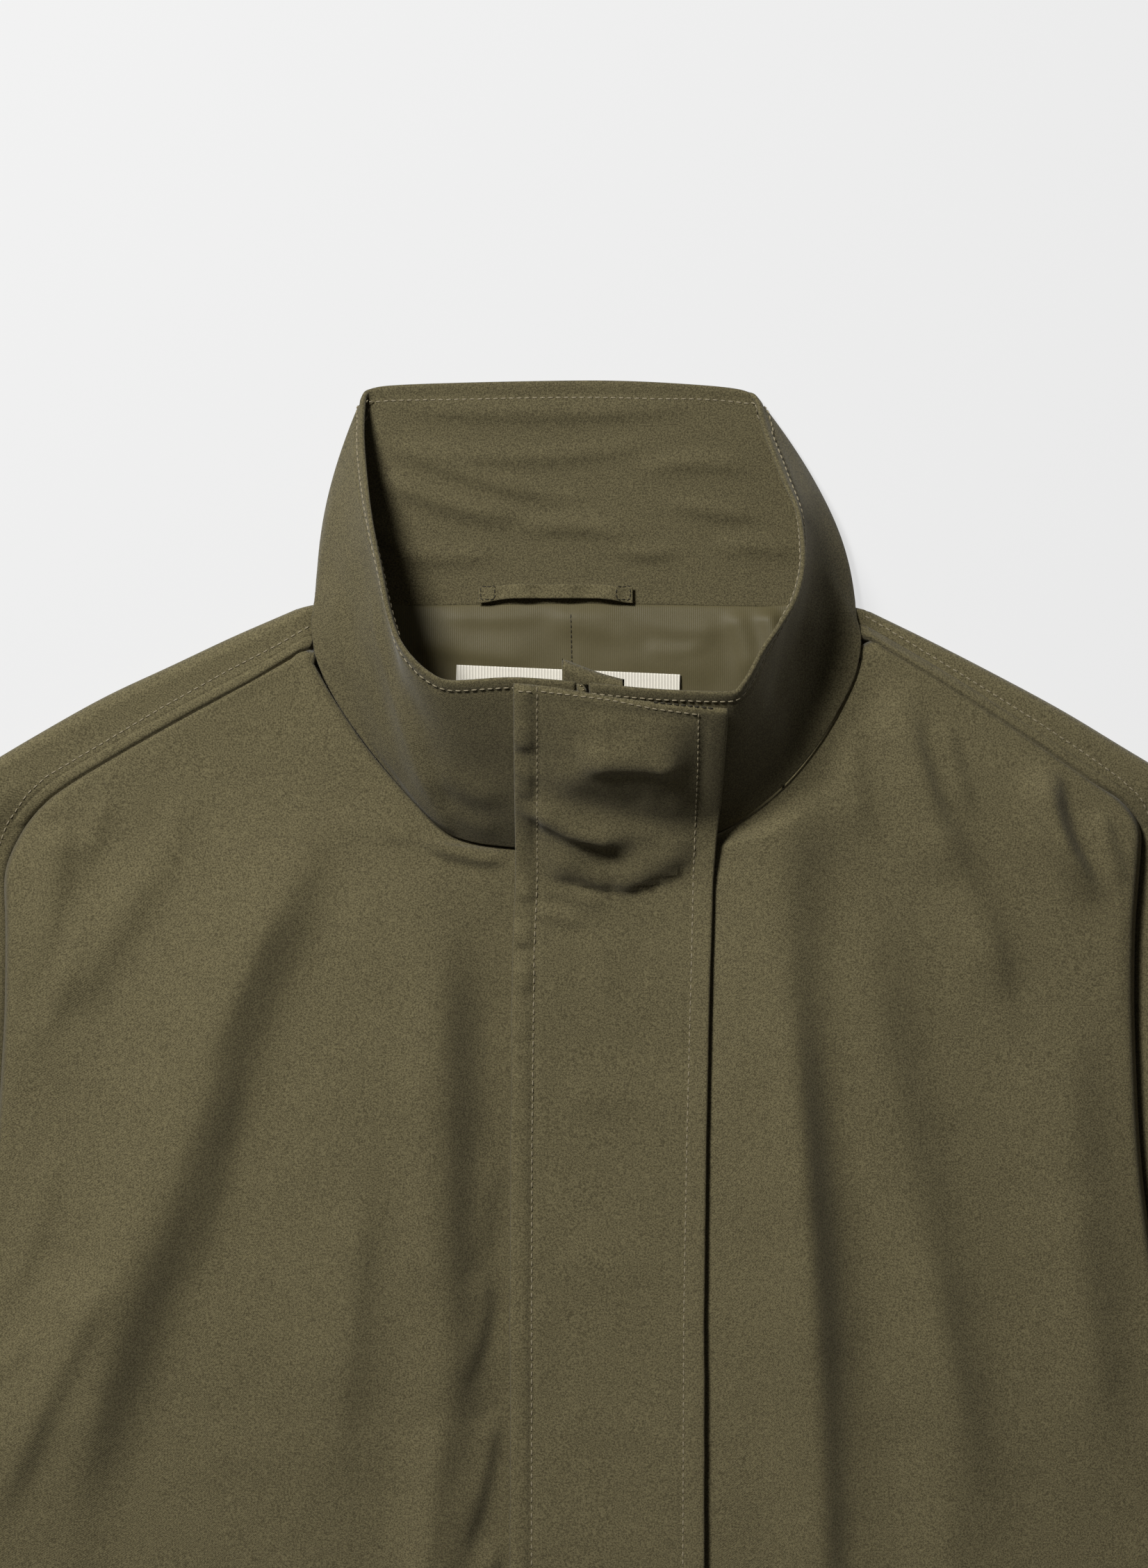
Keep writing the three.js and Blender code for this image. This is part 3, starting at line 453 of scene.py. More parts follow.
def through(rows, t):
    """Values on a smooth curve through a table's rows, at places t counted in rows."""
    values = np.array(rows, float)
    last = len(values) - 1
    t = np.asarray(t, float)
    i = np.clip(np.floor(t).astype(int), 0, last - 1)
    s = (t - i)[..., None]
    p, q = values[i], values[i + 1]
    before, after = values[np.maximum(i - 1, 0)], values[np.minimum(i + 2, last)]
    a = limited((q - before) / 2, q - p, p - before)
    b = limited((after - p) / 2, q - p, after - q)
    return (
        (2 * s**3 - 3 * s**2 + 1) * p
        + (s**3 - 2 * s**2 + s) * a
        + (3 * s**2 - 2 * s**3) * q
        + (s**3 - s**2) * b
    )


def at_y(rows, y, column, y_column=0):
    """A column of a table whose rows run down in y."""
    values = np.array(rows, float)[::-1]
    return np.interp(y, values[:, y_column], values[:, column])


def coarse(spacing):
    return spacing * 1.0


def points_in(count):
    return int(count / coarse(1))


def even_places(rows, grid):
    """Places in a sleeve's or front's table, counted in rows, spaced as its grid says."""
    fine, line = grid
    t = np.linspace(0, len(rows) - 1, 2000)
    values = through(rows, t)
    columns = (0, 2)
    steps = sum(
        np.hypot(np.diff(values[:, c]), np.diff(values[:, c + 1])) for c in columns
    ) / len(columns)
    y = sum(values[:, c + 1] for c in columns) / len(columns)
    spacing = coarse(np.where(y[1:] > line, fine, 2 * fine))
    gone = np.concatenate([[0], np.cumsum(steps / spacing)])
    return np.interp(np.linspace(0, gone[-1], max(int(gone[-1]), 8)), gone, t)


def ridges(table, x, y):
    """Height that a table of folds adds at points of the plan."""
    height = np.zeros_like(x)
    for x0, y0, x1, y1, x2, y2, left, right, tall in table:
        s = np.linspace(0, 1, FOLD_POINTS)[:, None]
        a, b, c = np.array([[x0, y0], [x1, y1], [x2, y2]], float)
        bend = 2 * b - (a + c) / 2
        path = (1 - s) ** 2 * a + 2 * s * (1 - s) * bend + s**2 * c
        reach = FOLD_REACH * max(left, right)
        low, high = path.min(0) - reach, path.max(0) + reach
        near = (x > low[0]) & (x < high[0]) & (y > low[1]) & (y < high[1])
        px, py = x[near], y[near]
        best, side, place = np.full(px.shape, np.inf), np.zeros(px.shape), np.zeros(px.shape)
        for i, (p, q) in enumerate(zip(path, path[1:])):
            d = q - p
            length = np.hypot(*d)
            d = d / length
            along = np.clip((px - p[0]) * d[0] + (py - p[1]) * d[1], 0, length)
            off = np.hypot(px - p[0] - along * d[0], py - p[1] - along * d[1])
            closer = off < best
            best = np.where(closer, off, best)
            side = np.where(closer, d[0] * (py - p[1]) - d[1] * (px - p[0]), side)
            place = np.where(closer, (i + along / length) / (FOLD_POINTS - 1), place)
        fade = smooth(place / FOLD_END) * smooth((1 - place) / FOLD_END)
        height[near] += tall * fade * bell(best, np.where(side > 0, left, right))
    return height


def rumple(x, y, size, seed):
    """Soft unevenness between -1 and 1, about size wide."""
    cells = 256
    lattice = np.random.default_rng(seed).uniform(-1, 1, (cells, cells))
    u, v = x / size + cells / 2, y / size + cells / 2
    i, j = np.floor(u).astype(int), np.floor(v).astype(int)
    s, t = smooth(u - i), smooth(v - j)

    def corner(a, b):
        return lattice[(i + a) % cells, (j + b) % cells]

    return mix(mix(corner(0, 0), corner(1, 0), s), mix(corner(0, 1), corner(1, 1), s), t)


def relief(x, y):
    """Folds, creases and unevenness of the upper layers."""
    folds = RELIEF * (ridges(FOLDS, x, y) + ridges(CREASES, x, y))
    return folds + sum(tall * rumple(x, y, size, seed) for tall, size, seed in RUMPLES)


def normals(points):
    out = np.cross(np.gradient(points, axis=1), np.gradient(points, axis=0))
    return out / np.maximum(np.linalg.norm(out, axis=2, keepdims=True), 1e-9)


def soften(points, passes):
    """Evens out a grid, its corners apart."""
    for _ in range(passes):
        points[1:-1] = (points[:-2] + 2 * points[1:-1] + points[2:]) / 4
        points[:, 1:-1] = (points[:, :-2] + 2 * points[:, 1:-1] + points[:, 2:]) / 4
    return points


def extended(base, axis, step, shares):
    """Adds grid lines before the first one along an axis, each moved from it by a share of step."""
    first = np.take(base, 0, axis)
    return np.concatenate([np.stack([first + step * share for share in shares], axis), base], axis)


def edge_distance(points):
    """Distances of each grid point to the two ends of its column, and of its row."""
    def ends(axis):
        steps = np.linalg.norm(np.diff(points, axis=axis), axis=2)
        pad = [(0, 0), (0, 0)]
        pad[axis] = (1, 0)
        gone = np.pad(np.cumsum(steps, axis=axis), pad)
        return gone, gone.max(axis=axis, keepdims=True) - gone

    return ends(0), ends(1)


def shares_across(size, count, ends=(0.0, 0.12, 0.4, 0.9)):
    """About count shares of a size, with more close to both ends for a rounded edge."""
    places = np.linspace(0, size, count)
    inner = places[(places > ends[-1] * 1.4) & (places < size - ends[-1] * 1.4)]
    return np.concatenate([np.array(ends), inner, size - np.array(ends)[::-1]]) / size


def finished(piece, material, nodes=()):
    """Gives a piece its material and its body, and hides the solids that it stands for."""
    piece.data.materials.append(material)
    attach(piece, "root")
    if nodes:
        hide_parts(*nodes)
    return piece


def cloth(name, middle, half, material, nodes=()):
    """A sheet on a grid of middle points: two faces, half apart each way, that meet round its edge.

    It stands for the solids in nodes, or else for the one with its name."""
    rows, columns = middle.shape[:2]
    (top, bottom), (left, right) = edge_distance(middle)
    inset = np.minimum(np.minimum(top, bottom), np.minimum(left, right))
    half = np.broadcast_to(half, (rows, columns))
    offset = normals(middle) * (half * round_over(inset / np.maximum(half, 1e-6)))[..., None]
    flat = np.stack([left, -top], axis=2).reshape(-1, 2)
    faces = []
    for sign in (1, -1):
        bpy.ops.mesh.primitive_grid_add(x_subdivisions=columns - 1, y_subdivisions=rows - 1, size=1)
        piece = bpy.context.object
        points = middle + sign * offset - MIDDLE
        points[..., 2] = np.maximum(points[..., 2], 0)
        piece.data.vertices.foreach_set("co", (points * MM).ravel())
        uv = piece.data.uv_layers.active
        uv.name = "cloth"
        index = np.zeros(len(piece.data.loops), int)
        piece.data.loops.foreach_get("vertex_index", index)
        uv.data.foreach_set("uv", (flat[index] * MM).ravel())
        if sign < 0:
            piece.data.flip_normals()
        faces.append(piece)
    for piece in faces:
        piece.select_set(True)
    bpy.context.view_layer.objects.active = faces[0]
    bpy.ops.object.join()
    piece = bpy.context.object
    piece.name = piece.data.name = name + "_cloth"
    bpy.ops.object.mode_set(mode="EDIT")
    bpy.ops.mesh.select_all(action="SELECT")
    bpy.ops.mesh.remove_doubles(threshold=2e-6)
    bpy.ops.object.mode_set(mode="OBJECT")
    bpy.ops.object.shade_smooth()
    return finished(piece, material, nodes or [name])


def laid(name, x, y, z, half, material):
    """A sheet from its plan and heights, its rows running down and its columns to the right."""
    return cloth(name, np.stack([x, y, z], axis=2)[:, ::-1], half, material)


def front(name, rows, side):
    """A front panel, from the zip and neck seam out to the shoulder, armhole and side seams."""
    t = even_places(rows, FRONT_GRID)
    values = through(rows, t)
    ahead = through(rows, np.minimum(t + 0.02, len(rows) - 1)) - through(rows, np.maximum(t - 0.02, 0))
    step = unit(ahead[:, 2:4])
    outer = values[:, 2:4] + side * SEAM * np.stack([step[:, 1], -step[:, 0]], axis=1)
    inner = values[:, 0:2]
    length = np.linalg.norm(outer - inner, axis=1)[:, None]
    roll = np.minimum(CURL, length * FULL_CURL_SHARE)
    even = np.linspace(0, 1, points_in(FRONT_ACROSS))[None, :]
    edge = (1 - np.linspace(0, 1, 9)[1:])[None, :]
    d = np.concatenate([even * (length - roll), length - roll * edge], axis=1)
    share = d / length
    x, y = between(inner, outer, share)
    in_z, mid_z, out_z = (values[:, k, None] for k in (4, 5, 6))
    level = mix(in_z, mid_z, smooth(share * 2.2))
    rolled = round_over((length - d) / roll)
    base = soften(np.stack([x, y, mix(out_z, level, rolled)], axis=2), 6)
    x, y = base[..., 0], base[..., 1]
    base[..., 2] += relief(x, y) * smooth(d / FRONT_CALM[0]) * smooth((length - d) / FRONT_CALM[1])

    # Both seams are sunk, and the cloth goes on under the collar, also at the neck point
    off_zip = abs(inner[:, :1]) - ZIP_HALF - 1
    base[..., 2] -= groove(length - d, SHOULDER_GROOVE) * (y > ARMPIT_Y)
    base[..., 2] -= groove(d, NECK_GROOVE) * (off_zip > 0)
    tuck = np.append((inner - outer) / length, np.full((len(t), 1), -1.2), axis=1)
    base = extended(base, 1, tuck * smooth(off_zip / 4) - np.array([0, 0, 0.02]), TUCK)
    base = extended(base, 0, np.array([-side * 1.5, 5.5, -1.6]), (1, 0.5))
    return cloth(name, base[:, ::-side], THIN, shell)


def sleeve(name, rows, side):
    """A sleeve with its saddle strip, from the front seam over the fold to the back seam."""
    low = PLY / 2
    values = through(rows, even_places(rows, SLEEVE_GRID))
    seam, edge, under = values[:, 0:2], values[:, 2:4], values[:, 4:6]
    seam_z, top = values[:, 6:7], values[:, 7:8]
    length = np.linalg.norm(edge - seam, axis=1)[:, None]
    radius = np.minimum((top - low) / 2, length * 0.3)
    outward = unit(edge - under)
    end = edge - outward * radius
    upper_count, fold_count, under_count = SLEEVE_ACROSS
    share = np.linspace(0, 1, points_in(upper_count))[None, :-1]
    x, y = between(seam, end, share)
    d = share * length
    z = mix(seam_z, 2 * radius + low, smooth(d / np.minimum(30, length * 0.6)))
    upper = np.stack([x, y, z], axis=2)
    angle = np.linspace(0, math.pi, fold_count)[None, :]
    bend = np.stack([
        edge[:, :1] + outward[:, :1] * radius * (np.sin(angle) - 1),
        edge[:, 1:] + outward[:, 1:] * radius * (np.sin(angle) - 1),
        low + radius + radius * np.cos(angle),
    ], axis=2)
    share = np.linspace(0, 1, points_in(under_count))[None, 1:]
    lower_x, lower_y = between(bend[:, -1, :2], under, share)
    lower = np.stack([lower_x, lower_y, np.full_like(lower_x, low)], axis=2)
    base = soften(np.concatenate([upper, bend, lower], axis=1), 4)
    n = upper.shape[1]
    x, y = base[:, :n, 0], base[:, :n, 1]
    calm = smooth(d / SLEEVE_CALM[0]) * smooth((length - radius - d) / SLEEVE_CALM[1])
    base[:, :n, 2] += relief(x, y) * calm

    # A sunk seam with a stitched ridge beside it, tucked under the front and in under the collar
    saddle = values[:, 1:2] > SADDLE_END_Y
    middle, half_width, tall = SADDLE_RIDGE
    base[:, :n, 2] += tall * bell(d - middle, half_width, 4) * saddle
    base[:, :n, 2] -= groove(d, SLEEVE_GROOVE) + groove(d - EDGE_ROW, SADDLE_GROOVE) * saddle
    tuck = np.append(unit(seam - end), np.full((len(values), 1), -1.1), axis=1)
    base = extended(base, 1, tuck, TUCK)
    on_top = (np.arange(base.shape[1]) < n + 6)[:, None]
    base = extended(base, 0, np.array([-side * 6.0, 1.5, -1.6]) * on_top, (1, 0.66, 0.33))
    return cloth(name, base[:, ::-side], THIN, shell, [name + "_upper", name + "_under"])


def back():
    """The back, flat on the surface, its sides turned up to the fronts below the armpit."""
    shoulder, sides = [], []
    for side, rows, fronts in ((-1, SLEEVE_RIGHT, FRONT_RIGHT), (1, SLEEVE_LEFT, FRONT_LEFT)):
        seam = [(row[4], row[5]) for row in rows]
        shoulder.append([(side * NECK_HALF, NECK_Y)] + seam[:BACK_SHOULDER_ROWS])
        arm = [(y, x - side * 0.4) for x, y in seam[BACK_SHOULDER_ROWS - 1 : -1]]
        pit = [(ARMPIT_Y - 8, side * 261.5)]
        sides.append(arm + pit + [(row[3], row[2] - side * 0.8) for row in fronts[FRONT_SIDE_ROW:]])
    arm_top = min(sides[0][0][0], sides[1][0][0])
    v = np.linspace(0, 1, points_in(BACK_GRID[0]))[:, None]
    u = np.linspace(-1, 1, points_in(BACK_GRID[1]))[None, :]
    low = mix(arm_top, HEM_Y, v)
    left, right = (at_y(rows, low, 1) for rows in sides)
    x = mix(left, right, 0.5 + 0.5 * np.sin(math.pi * u / 2))
    line = np.array(shoulder[0][::-1] + shoulder[1], float)
    top = np.interp(x, line[:, 0], line[:, 1]) - 0.5
    y = low + (top - arm_top) * (1 - v) ** 2
    turn = smooth((ARMPIT_Y - 12 - low) / 20)
    z = PLY / 2 + 1.3 * turn * (1 - smooth(np.minimum(x - left, right - x) / 4))
    return cloth("back", np.stack([x, y, z], axis=2), THIN + 0.2, shell)


def collar_point(t, v):
    """The collar's middle surface: t round the ring in table rows, v from neck seam to rim."""
    row = through(COLLAR, t)
    v = np.asarray(v, float)[..., None]
    return (
        (1 - v) * (1 - 2 * v) * row[..., 0:3]
        + 4 * v * (1 - v) * row[..., 3:6]
        + v * (2 * v - 1) * row[..., 6:9]
    )


def ring_at(x):
    """Where on the ring the front neck seam has this x."""
    base, rows = -np.array(COLLAR)[:, 0], np.arange(len(COLLAR))
    right, left = (np.interp(-x, base[part], rows[part]) for part in COLLAR_FRONT)
    return np.where(x < 0, right, left)


def collar_front(x, v):
    """A point of the collar's front above neck seam x."""
    at_right, at_left = ring_at(np.minimum(x, -ZIP_HALF)), ring_at(np.maximum(x, ZIP_HALF))
    share = np.clip((x + ZIP_HALF) / (2 * ZIP_HALF), 0, 1)[..., None]
    return mix(collar_point(at_right, v), collar_point(at_left, v), share)


def collar():
    """The collar, two layers folded over at the rim and stitched below it."""
    t = np.linspace(0, len(COLLAR) - 1, points_in(COLLAR_GRID[0]))
    v = shares_across(COLLAR_TALL, points_in(COLLAR_GRID[1]))
    grid_t, grid_v = np.meshgrid(t, v)
    points = soften(collar_point(grid_t, grid_v), 3)
    (low, high), _ = edge_distance(points)
    raised = smooth((points[..., 2] - 4) / 8)
    calm = smooth(low / 6) * smooth(high / 9)
    x, y = points[..., 0], points[..., 1]
    points[..., 2] += 1.5 * ridges(COLLAR_FOLDS, x, y) * (1 - raised) * calm
    out = normals(points)
    out *= np.sign(out[..., 2:3])
    wave = ridges(COLLAR_SIDE_FOLDS, x, y) + 0.5 * rumple(grid_t * 9, grid_v * COLLAR_TALL, 16, 5)
    points += out * (wave * raised * calm)[..., None]
    puff = 0.25 * bell(high - 2.8, 2.2, 4) - groove(high - EDGE_ROW, RIM_GROOVE)
    return cloth("collar", points[:, ::-1], DOUBLE / 2 - 0.1 + puff[:, ::-1], collar_twill_in_painted_shade)


def centre_z(x, y):
    """Height of the fronts' middle surface near the zip."""
    z = np.zeros_like(x)
    for rows, part in ((FRONT_RIGHT, x < 0), (FRONT_LEFT, x >= 0)):
        inner = np.array(rows)[FRONT_ZIP_ROW:]
        across = abs(x / at_y(inner, y, 2, 1))
        level = mix(at_y(inner, y, 4, 1), at_y(inner, y, 5, 1), smooth(across * 2.2))
        z = np.where(part, level, z)
    return z


def centre_strip(left, right, top, corner_v, corner_y, end_y, lift, columns, spacing):
    """Middle points of a strip over the collar's front and down the fronts, moved out by lift."""
    down_collar = np.linspace(0, 1, int(60 / spacing))[:, None]
    s = columns[None, :]
    v = mix(top(s), corner_v, down_collar)
    y = 200 + 40 * v
    x = mix(left(y), right(y), s)
    upper = collar_front(x, v)
    line = STRIP_GRID_Y
    y = np.concatenate([
        np.linspace(corner_y, line, int((corner_y - line) / spacing)),
        np.linspace(line, end_y, int((line - end_y) / (2.2 * spacing)))[1:],
    ])[:, None] * np.ones_like(s)
    x = mix(left(y), right(y), s)
    lower = np.stack([x, y, centre_z(x, y) + relief(x, y) * smooth(abs(x) / 30)], axis=2)
    points = soften(np.concatenate([upper, lower]), 6)
    return points - normals(points) * lift


def placket():
    """The covering flap: stitched down along its sewn edge, free at the other."""
    points = centre_strip(
        lambda y: at_y(PLACKET_EDGES, y, 1),
        lambda y: at_y(PLACKET_EDGES, y, 2),
        lambda s: mix(*PLACKET_TOP, s),
        0.1, 192, HEM_Y, DOUBLE + 2 * GAP,
        shares_across(PLACKET_WIDE, points_in(PLACKET_ACROSS), (0.0, 0.1, 0.35, 0.8, 1.3)), coarse(1.7),
    )
    (down, _), (left, right) = edge_distance(points)
    x, y = points[..., 0], points[..., 1]
    ridge = STITCH_ROW / 2
    stand = at_y(PLACKET_EDGES, y, 3) * (left / PLACKET_WIDE) ** 3
    wave = ridges(PLACKET_FOLDS, x, y) + 0.35 * rumple(x, y, 30, 7) + 0.15 * rumple(x, y, 12, 8)
    pucker = 1.5 * rumple(x * 0.35 + y * 0.3, y, 5.0, 9) * bell(left - ridge, 4.5) * smooth((y - 20) / 150)
    calm = smooth(left / 12) * smooth(right / 10) * smooth(down / 10)
    points -= normals(points) * (stand + wave * calm + pucker * smooth(down / 4))[..., None]
    half = (
        DOUBLE / 2
        + 0.75 * bell(left - ridge, 3.4, 4)
        - 0.75 * bell(left - STITCH_ROW, 0.8)
        + 0.25 * bell(right - ridge, 3.6, 4)
        - groove(right - STITCH_ROW, RIM_GROOVE) * (down > EDGE_ROW)
        - groove(down - EDGE_ROW, RIM_GROOVE) * (right > STITCH_ROW)
    )
    return cloth("placket", points, half, shell)


def zip_guard():
    """The flap behind the zip, its top a little over the collar's rim."""
    points = centre_strip(
        lambda y: -12.4 + 0 * y, lambda y: 19.6 + 0 * y, lambda s: 1 + mix(9.5, 2.0, s) / COLLAR_TALL,
        0.0, 200, HEM_Y + 4, -2.9, shares_across(32, 14), coarse(3),
    )
    return cloth("zip_guard", points, DOUBLE / 2, shell)


def zip_chain():
    """The zip: its tape, with a row of metal teeth along each side of the middle."""
    side_x = ZIP_HALF - GAP
    line = centre_strip(
        lambda y: -side_x + 0 * y, lambda y: side_x + 0 * y, lambda s: 0.99 + 0 * s,
        0.0, 200, HEM_Y + 2, 0.0, np.linspace(0, 1, 3), coarse(2.4),
    )
    tape = cloth("zip_tape", line, 0.35, shell, ["zip"])
    start, spacing, off = TEETH
    centres = even_path(line[:, 1], spacing, start)
    ahead = np.gradient(centres, axis=0)
    centres[0::2, 0] -= off
    centres[1::2, 0] += off
    scattered("zip_teeth", centres, ahead, TOOTH, brass)
    return tape


def lining():
    """The lining over the back, gathered a little at the middle and the sides."""
    v, u = (shares_across(size, points_in(count)) for size, count in zip(LINING_CUT, LINING_GRID))
    v, u = v[:, None], u[None, :]
    upper_half, lower_half, low = LINING
    half = mix(upper_half, lower_half, v)
    x = mix(-half, half, u)
    base = np.array(COLLAR[COLLAR_BACK])
    top = np.interp(x, base[:, 0], base[:, 1]) + 0.4
    y = mix(top, low, v)
    folds = ridges(LINING_FOLDS, x, y) + 0.5 * (1 + rumple(x, y, 26, 11)) + 0.15 * rumple(x, y, 9, 12)
    sunk = bell(top - y, 1.2)
    seam = bell(x + 5 + 0.02 * (y - 300), 0.7)
    z = PLY + GAP + 0.7 + folds * smooth((top - y) / 6) - 0.7 * sunk - 0.6 * seam * (1 - sunk)
    return laid("lining", x, y, z, 0.4, lining_satin)


def label():
    """The blank label, turned a little, above the lining's folds."""
    x0, y0, wide, tall, turn = LABEL
    u, v = shares_across(wide, 60), shares_across(tall, 26)
    a, b = np.meshgrid((u - 0.5) * wide, (0.5 - v) * tall)
    x = x0 + a * math.cos(turn) - b * math.sin(turn)
    y = y0 + a * math.sin(turn) + b * math.cos(turn)
    return laid("label", x, y, LABEL_Z + 0.35 * rumple(x, y, 30, 13), 0.3, label_satin)


def hanger_loop():
    """The loop, fastened at both ends and slack between them."""
    left, right, at, wide, slack = LOOP
    a, b = np.meshgrid(shares_across(right - left, 110), 0.5 - shares_across(wide, 12))
    x = mix(left, right, a)
    narrow = 1 - 0.12 * smooth(a * 7) * smooth((1 - a) * 7)
    y = at + b * wide * narrow + 1.6 * smooth(a * 4) * smooth((1 - a) * 4) - 0.9
    rise = slack * smooth(a * 8) * smooth((1 - a) * 8) * (0.55 + 0.45 * np.cos(a * 22))
    z = DOUBLE + GAP + 1.9 + rise + 0.3 * rumple(x, y, 5, 15)
    return laid("hanger_loop", x, y, z, 0.6, shell)


def linked(name, data):
    """A new object in the scene."""
    made = bpy.data.objects.new(name, data)
    bpy.context.collection.objects.link(made)
    return made


def scattered(name, centres, directions, size, material):
    """One mesh of many small rounded bars, each centred on its point and laid along its direction."""
    bpy.ops.mesh.primitive_uv_sphere_add(segments=6, ring_count=4, radius=0.5)
    one = bpy.context.object
    shape = np.array([v.co for v in one.data.vertices])
    faces = [tuple(p.vertices) for p in one.data.polygons]
    bpy.data.objects.remove(one)
    shape = np.sign(shape) * abs(shape * 2) ** 0.7 / 2
    ahead = unit(directions)
    across = unit(np.cross((0, 0, 1), ahead))
    up = np.cross(ahead, across)
    points = (
        centres[:, None]
        + ahead[:, None] * shape[None, :, 0:1] * size[0]
        + across[:, None] * shape[None, :, 1:2] * size[1]
        + up[:, None] * shape[None, :, 2:3] * size[2]
    ) - MIDDLE
    count = len(shape)
    mesh = bpy.data.meshes.new(name)
    all_faces = [tuple(i + k * count for i in f) for k in range(len(centres)) for f in faces]
    mesh.from_pydata((points * MM).reshape(-1, 3).tolist(), [], all_faces)
    mesh.shade_smooth()
    return finished(linked(name, mesh), material)


def even_path(path, step, start):
    """Points on a path, step apart, the first one at start."""
    path = np.array(path, float)
    gone = np.concatenate([[0], np.cumsum(np.linalg.norm(np.diff(path, axis=0), axis=1))])
    at = np.arange(start, gone[-1], step)
    return np.stack([np.interp(at, gone, path[:, k]) for k in range(path.shape[1])], axis=1)


def stitches(name, lines, material, size):
    """Topstitching: a thread bar in each pitch of every line, all in one mesh."""
    pitch, length, wide = size
    rows = [even_path(line, pitch, pitch / 2) for line in lines if len(line) > SHORTEST_LINE]
    centres = np.concatenate(rows)
    ahead = np.concatenate([np.gradient(row, axis=0) for row in rows])
    wander = np.random.default_rng(len(centres)).normal(0, WANDER, ahead.shape) * pitch
    return scattered(name, centres, ahead + wander, (length, wide, THREAD_HIGH), material)


def surface(piece):
    return BVHTree.FromObject(piece, bpy.context.evaluated_depsgraph_get())


def on_cloth(place, normal):
    """A thread's middle, in these tables, over a place found on a piece."""
    return np.array(place) / MM + MIDDLE + np.array(normal) * RAISED


def on_piece(piece, path):
    """A sewing line dropped on a piece from above, from a path in plan."""
    tree = surface(piece)
    line = []
    for x, y in even_path(path, PATH_STEP, PATH_STEP / 2):
        start = Vector((x * MM, (y - MIDDLE[1]) * MM, 0.2))
        place, normal, _, _ = tree.ray_cast(start, Vector((0, 0, -1)))
        if place:
            line.append(on_cloth(place, normal))
    return np.array(line).reshape(-1, 3)


def placket_line(across, top):
    """A sewing line down the placket, across mm from its sewn edge, or from its free one if below zero."""
    y = np.linspace(top, HEM_Y + 2, 300)
    edge = at_y(PLACKET_EDGES, y, 1 if across > 0 else 2)
    return np.stack([edge + across, y], axis=1)


def collar_line(piece, below_rim, face):
    """A sewing line round the collar on its outer (1) or inner (-1) face."""
    t = np.linspace(0.02, len(COLLAR) - 1.02, 700)
    v = 1 - below_rim / COLLAR_TALL
    point = collar_point(t, np.full_like(t, v))
    up = collar_point(t, np.full_like(t, v + 0.01)) - collar_point(t, np.full_like(t, v - 0.01))
    out = unit(np.cross(up, np.gradient(point, axis=0)))
    tree = surface(piece)
    starts = (point + face * out * 4 - MIDDLE) * MM
    return np.array([on_cloth(*tree.find_nearest(start)[:2]) for start in starts])


def sewing(pieces):
    """All the stitching that shows, and the hem's and cuffs'."""
    flap, ring = pieces["placket"], pieces["collar"]
    rows = [
        on_piece(pieces["sleeve_right"], SHOULDER_ROW_RIGHT),
        on_piece(pieces["sleeve_left"], SHOULDER_ROW_LEFT),
        *(on_piece(flap, placket_line(across, top)) for across, top in PLACKET_ROWS),
        *(on_piece(flap, row) for row in PLACKET_TOP_ROWS),
        collar_line(ring, EDGE_ROW, 1),
        collar_line(ring, EDGE_ROW, -1),
    ]
    for side, hand in ((-1, "right"), (1, "left")):
        for name, line in (("front_", HEM_LINE), ("sleeve_", CUFF_LINE)):
            rows.append(on_piece(pieces[name + hand], [(side * x, y) for x, y in line]))
    stitches("topstitching", rows, thread, STITCH)

    left, right, y, wide, _ = LOOP
    inset, along, top, bottom = TACK
    dark_rows = []
    for x in (left + inset, right - wide):
        square = [(x, y + top), (x + along, y + top), (x + along, y + bottom), (x, y + bottom), (x, y + top)]
        dark_rows.append(on_piece(pieces["hanger_loop"], square))
    dark_rows.append(on_piece(pieces["lining"], LINING_LINE))
    stitches("dark_stitching", dark_rows, dark_stitch_thread_and_shade, DARK_STITCH)
    # Painted shade: the row along the placket's upper edge uses the dark thread to stand for the shadow at
    # that edge
    edge = on_piece(flap, PLACKET_EDGE_ROW)
    stitches("placket_edge_stitching_painted_shade", [edge], dark_stitch_thread_and_shade, EDGE_STITCH_IN_PAINTED_SHADE)


class Value:
    """A number socket that arithmetic can be written with."""

    def __init__(self, paint, socket):
        self.paint, self.socket = paint, socket

    def math(self, operation, *others):
        return self.paint.node("ShaderNodeMath", {"operation": operation}, dict(enumerate((self, *others))))

    def __add__(self, other):
        return self.math("ADD", other)

    def __sub__(self, other):
        return self.math("SUBTRACT", other)

    def __mul__(self, other):
        return self.math("MULTIPLY", other)

    def wave(self, pitch):
        """Its sine, with one round in each pitch."""
        return (self * (2 * math.pi / pitch)).math("SINE")


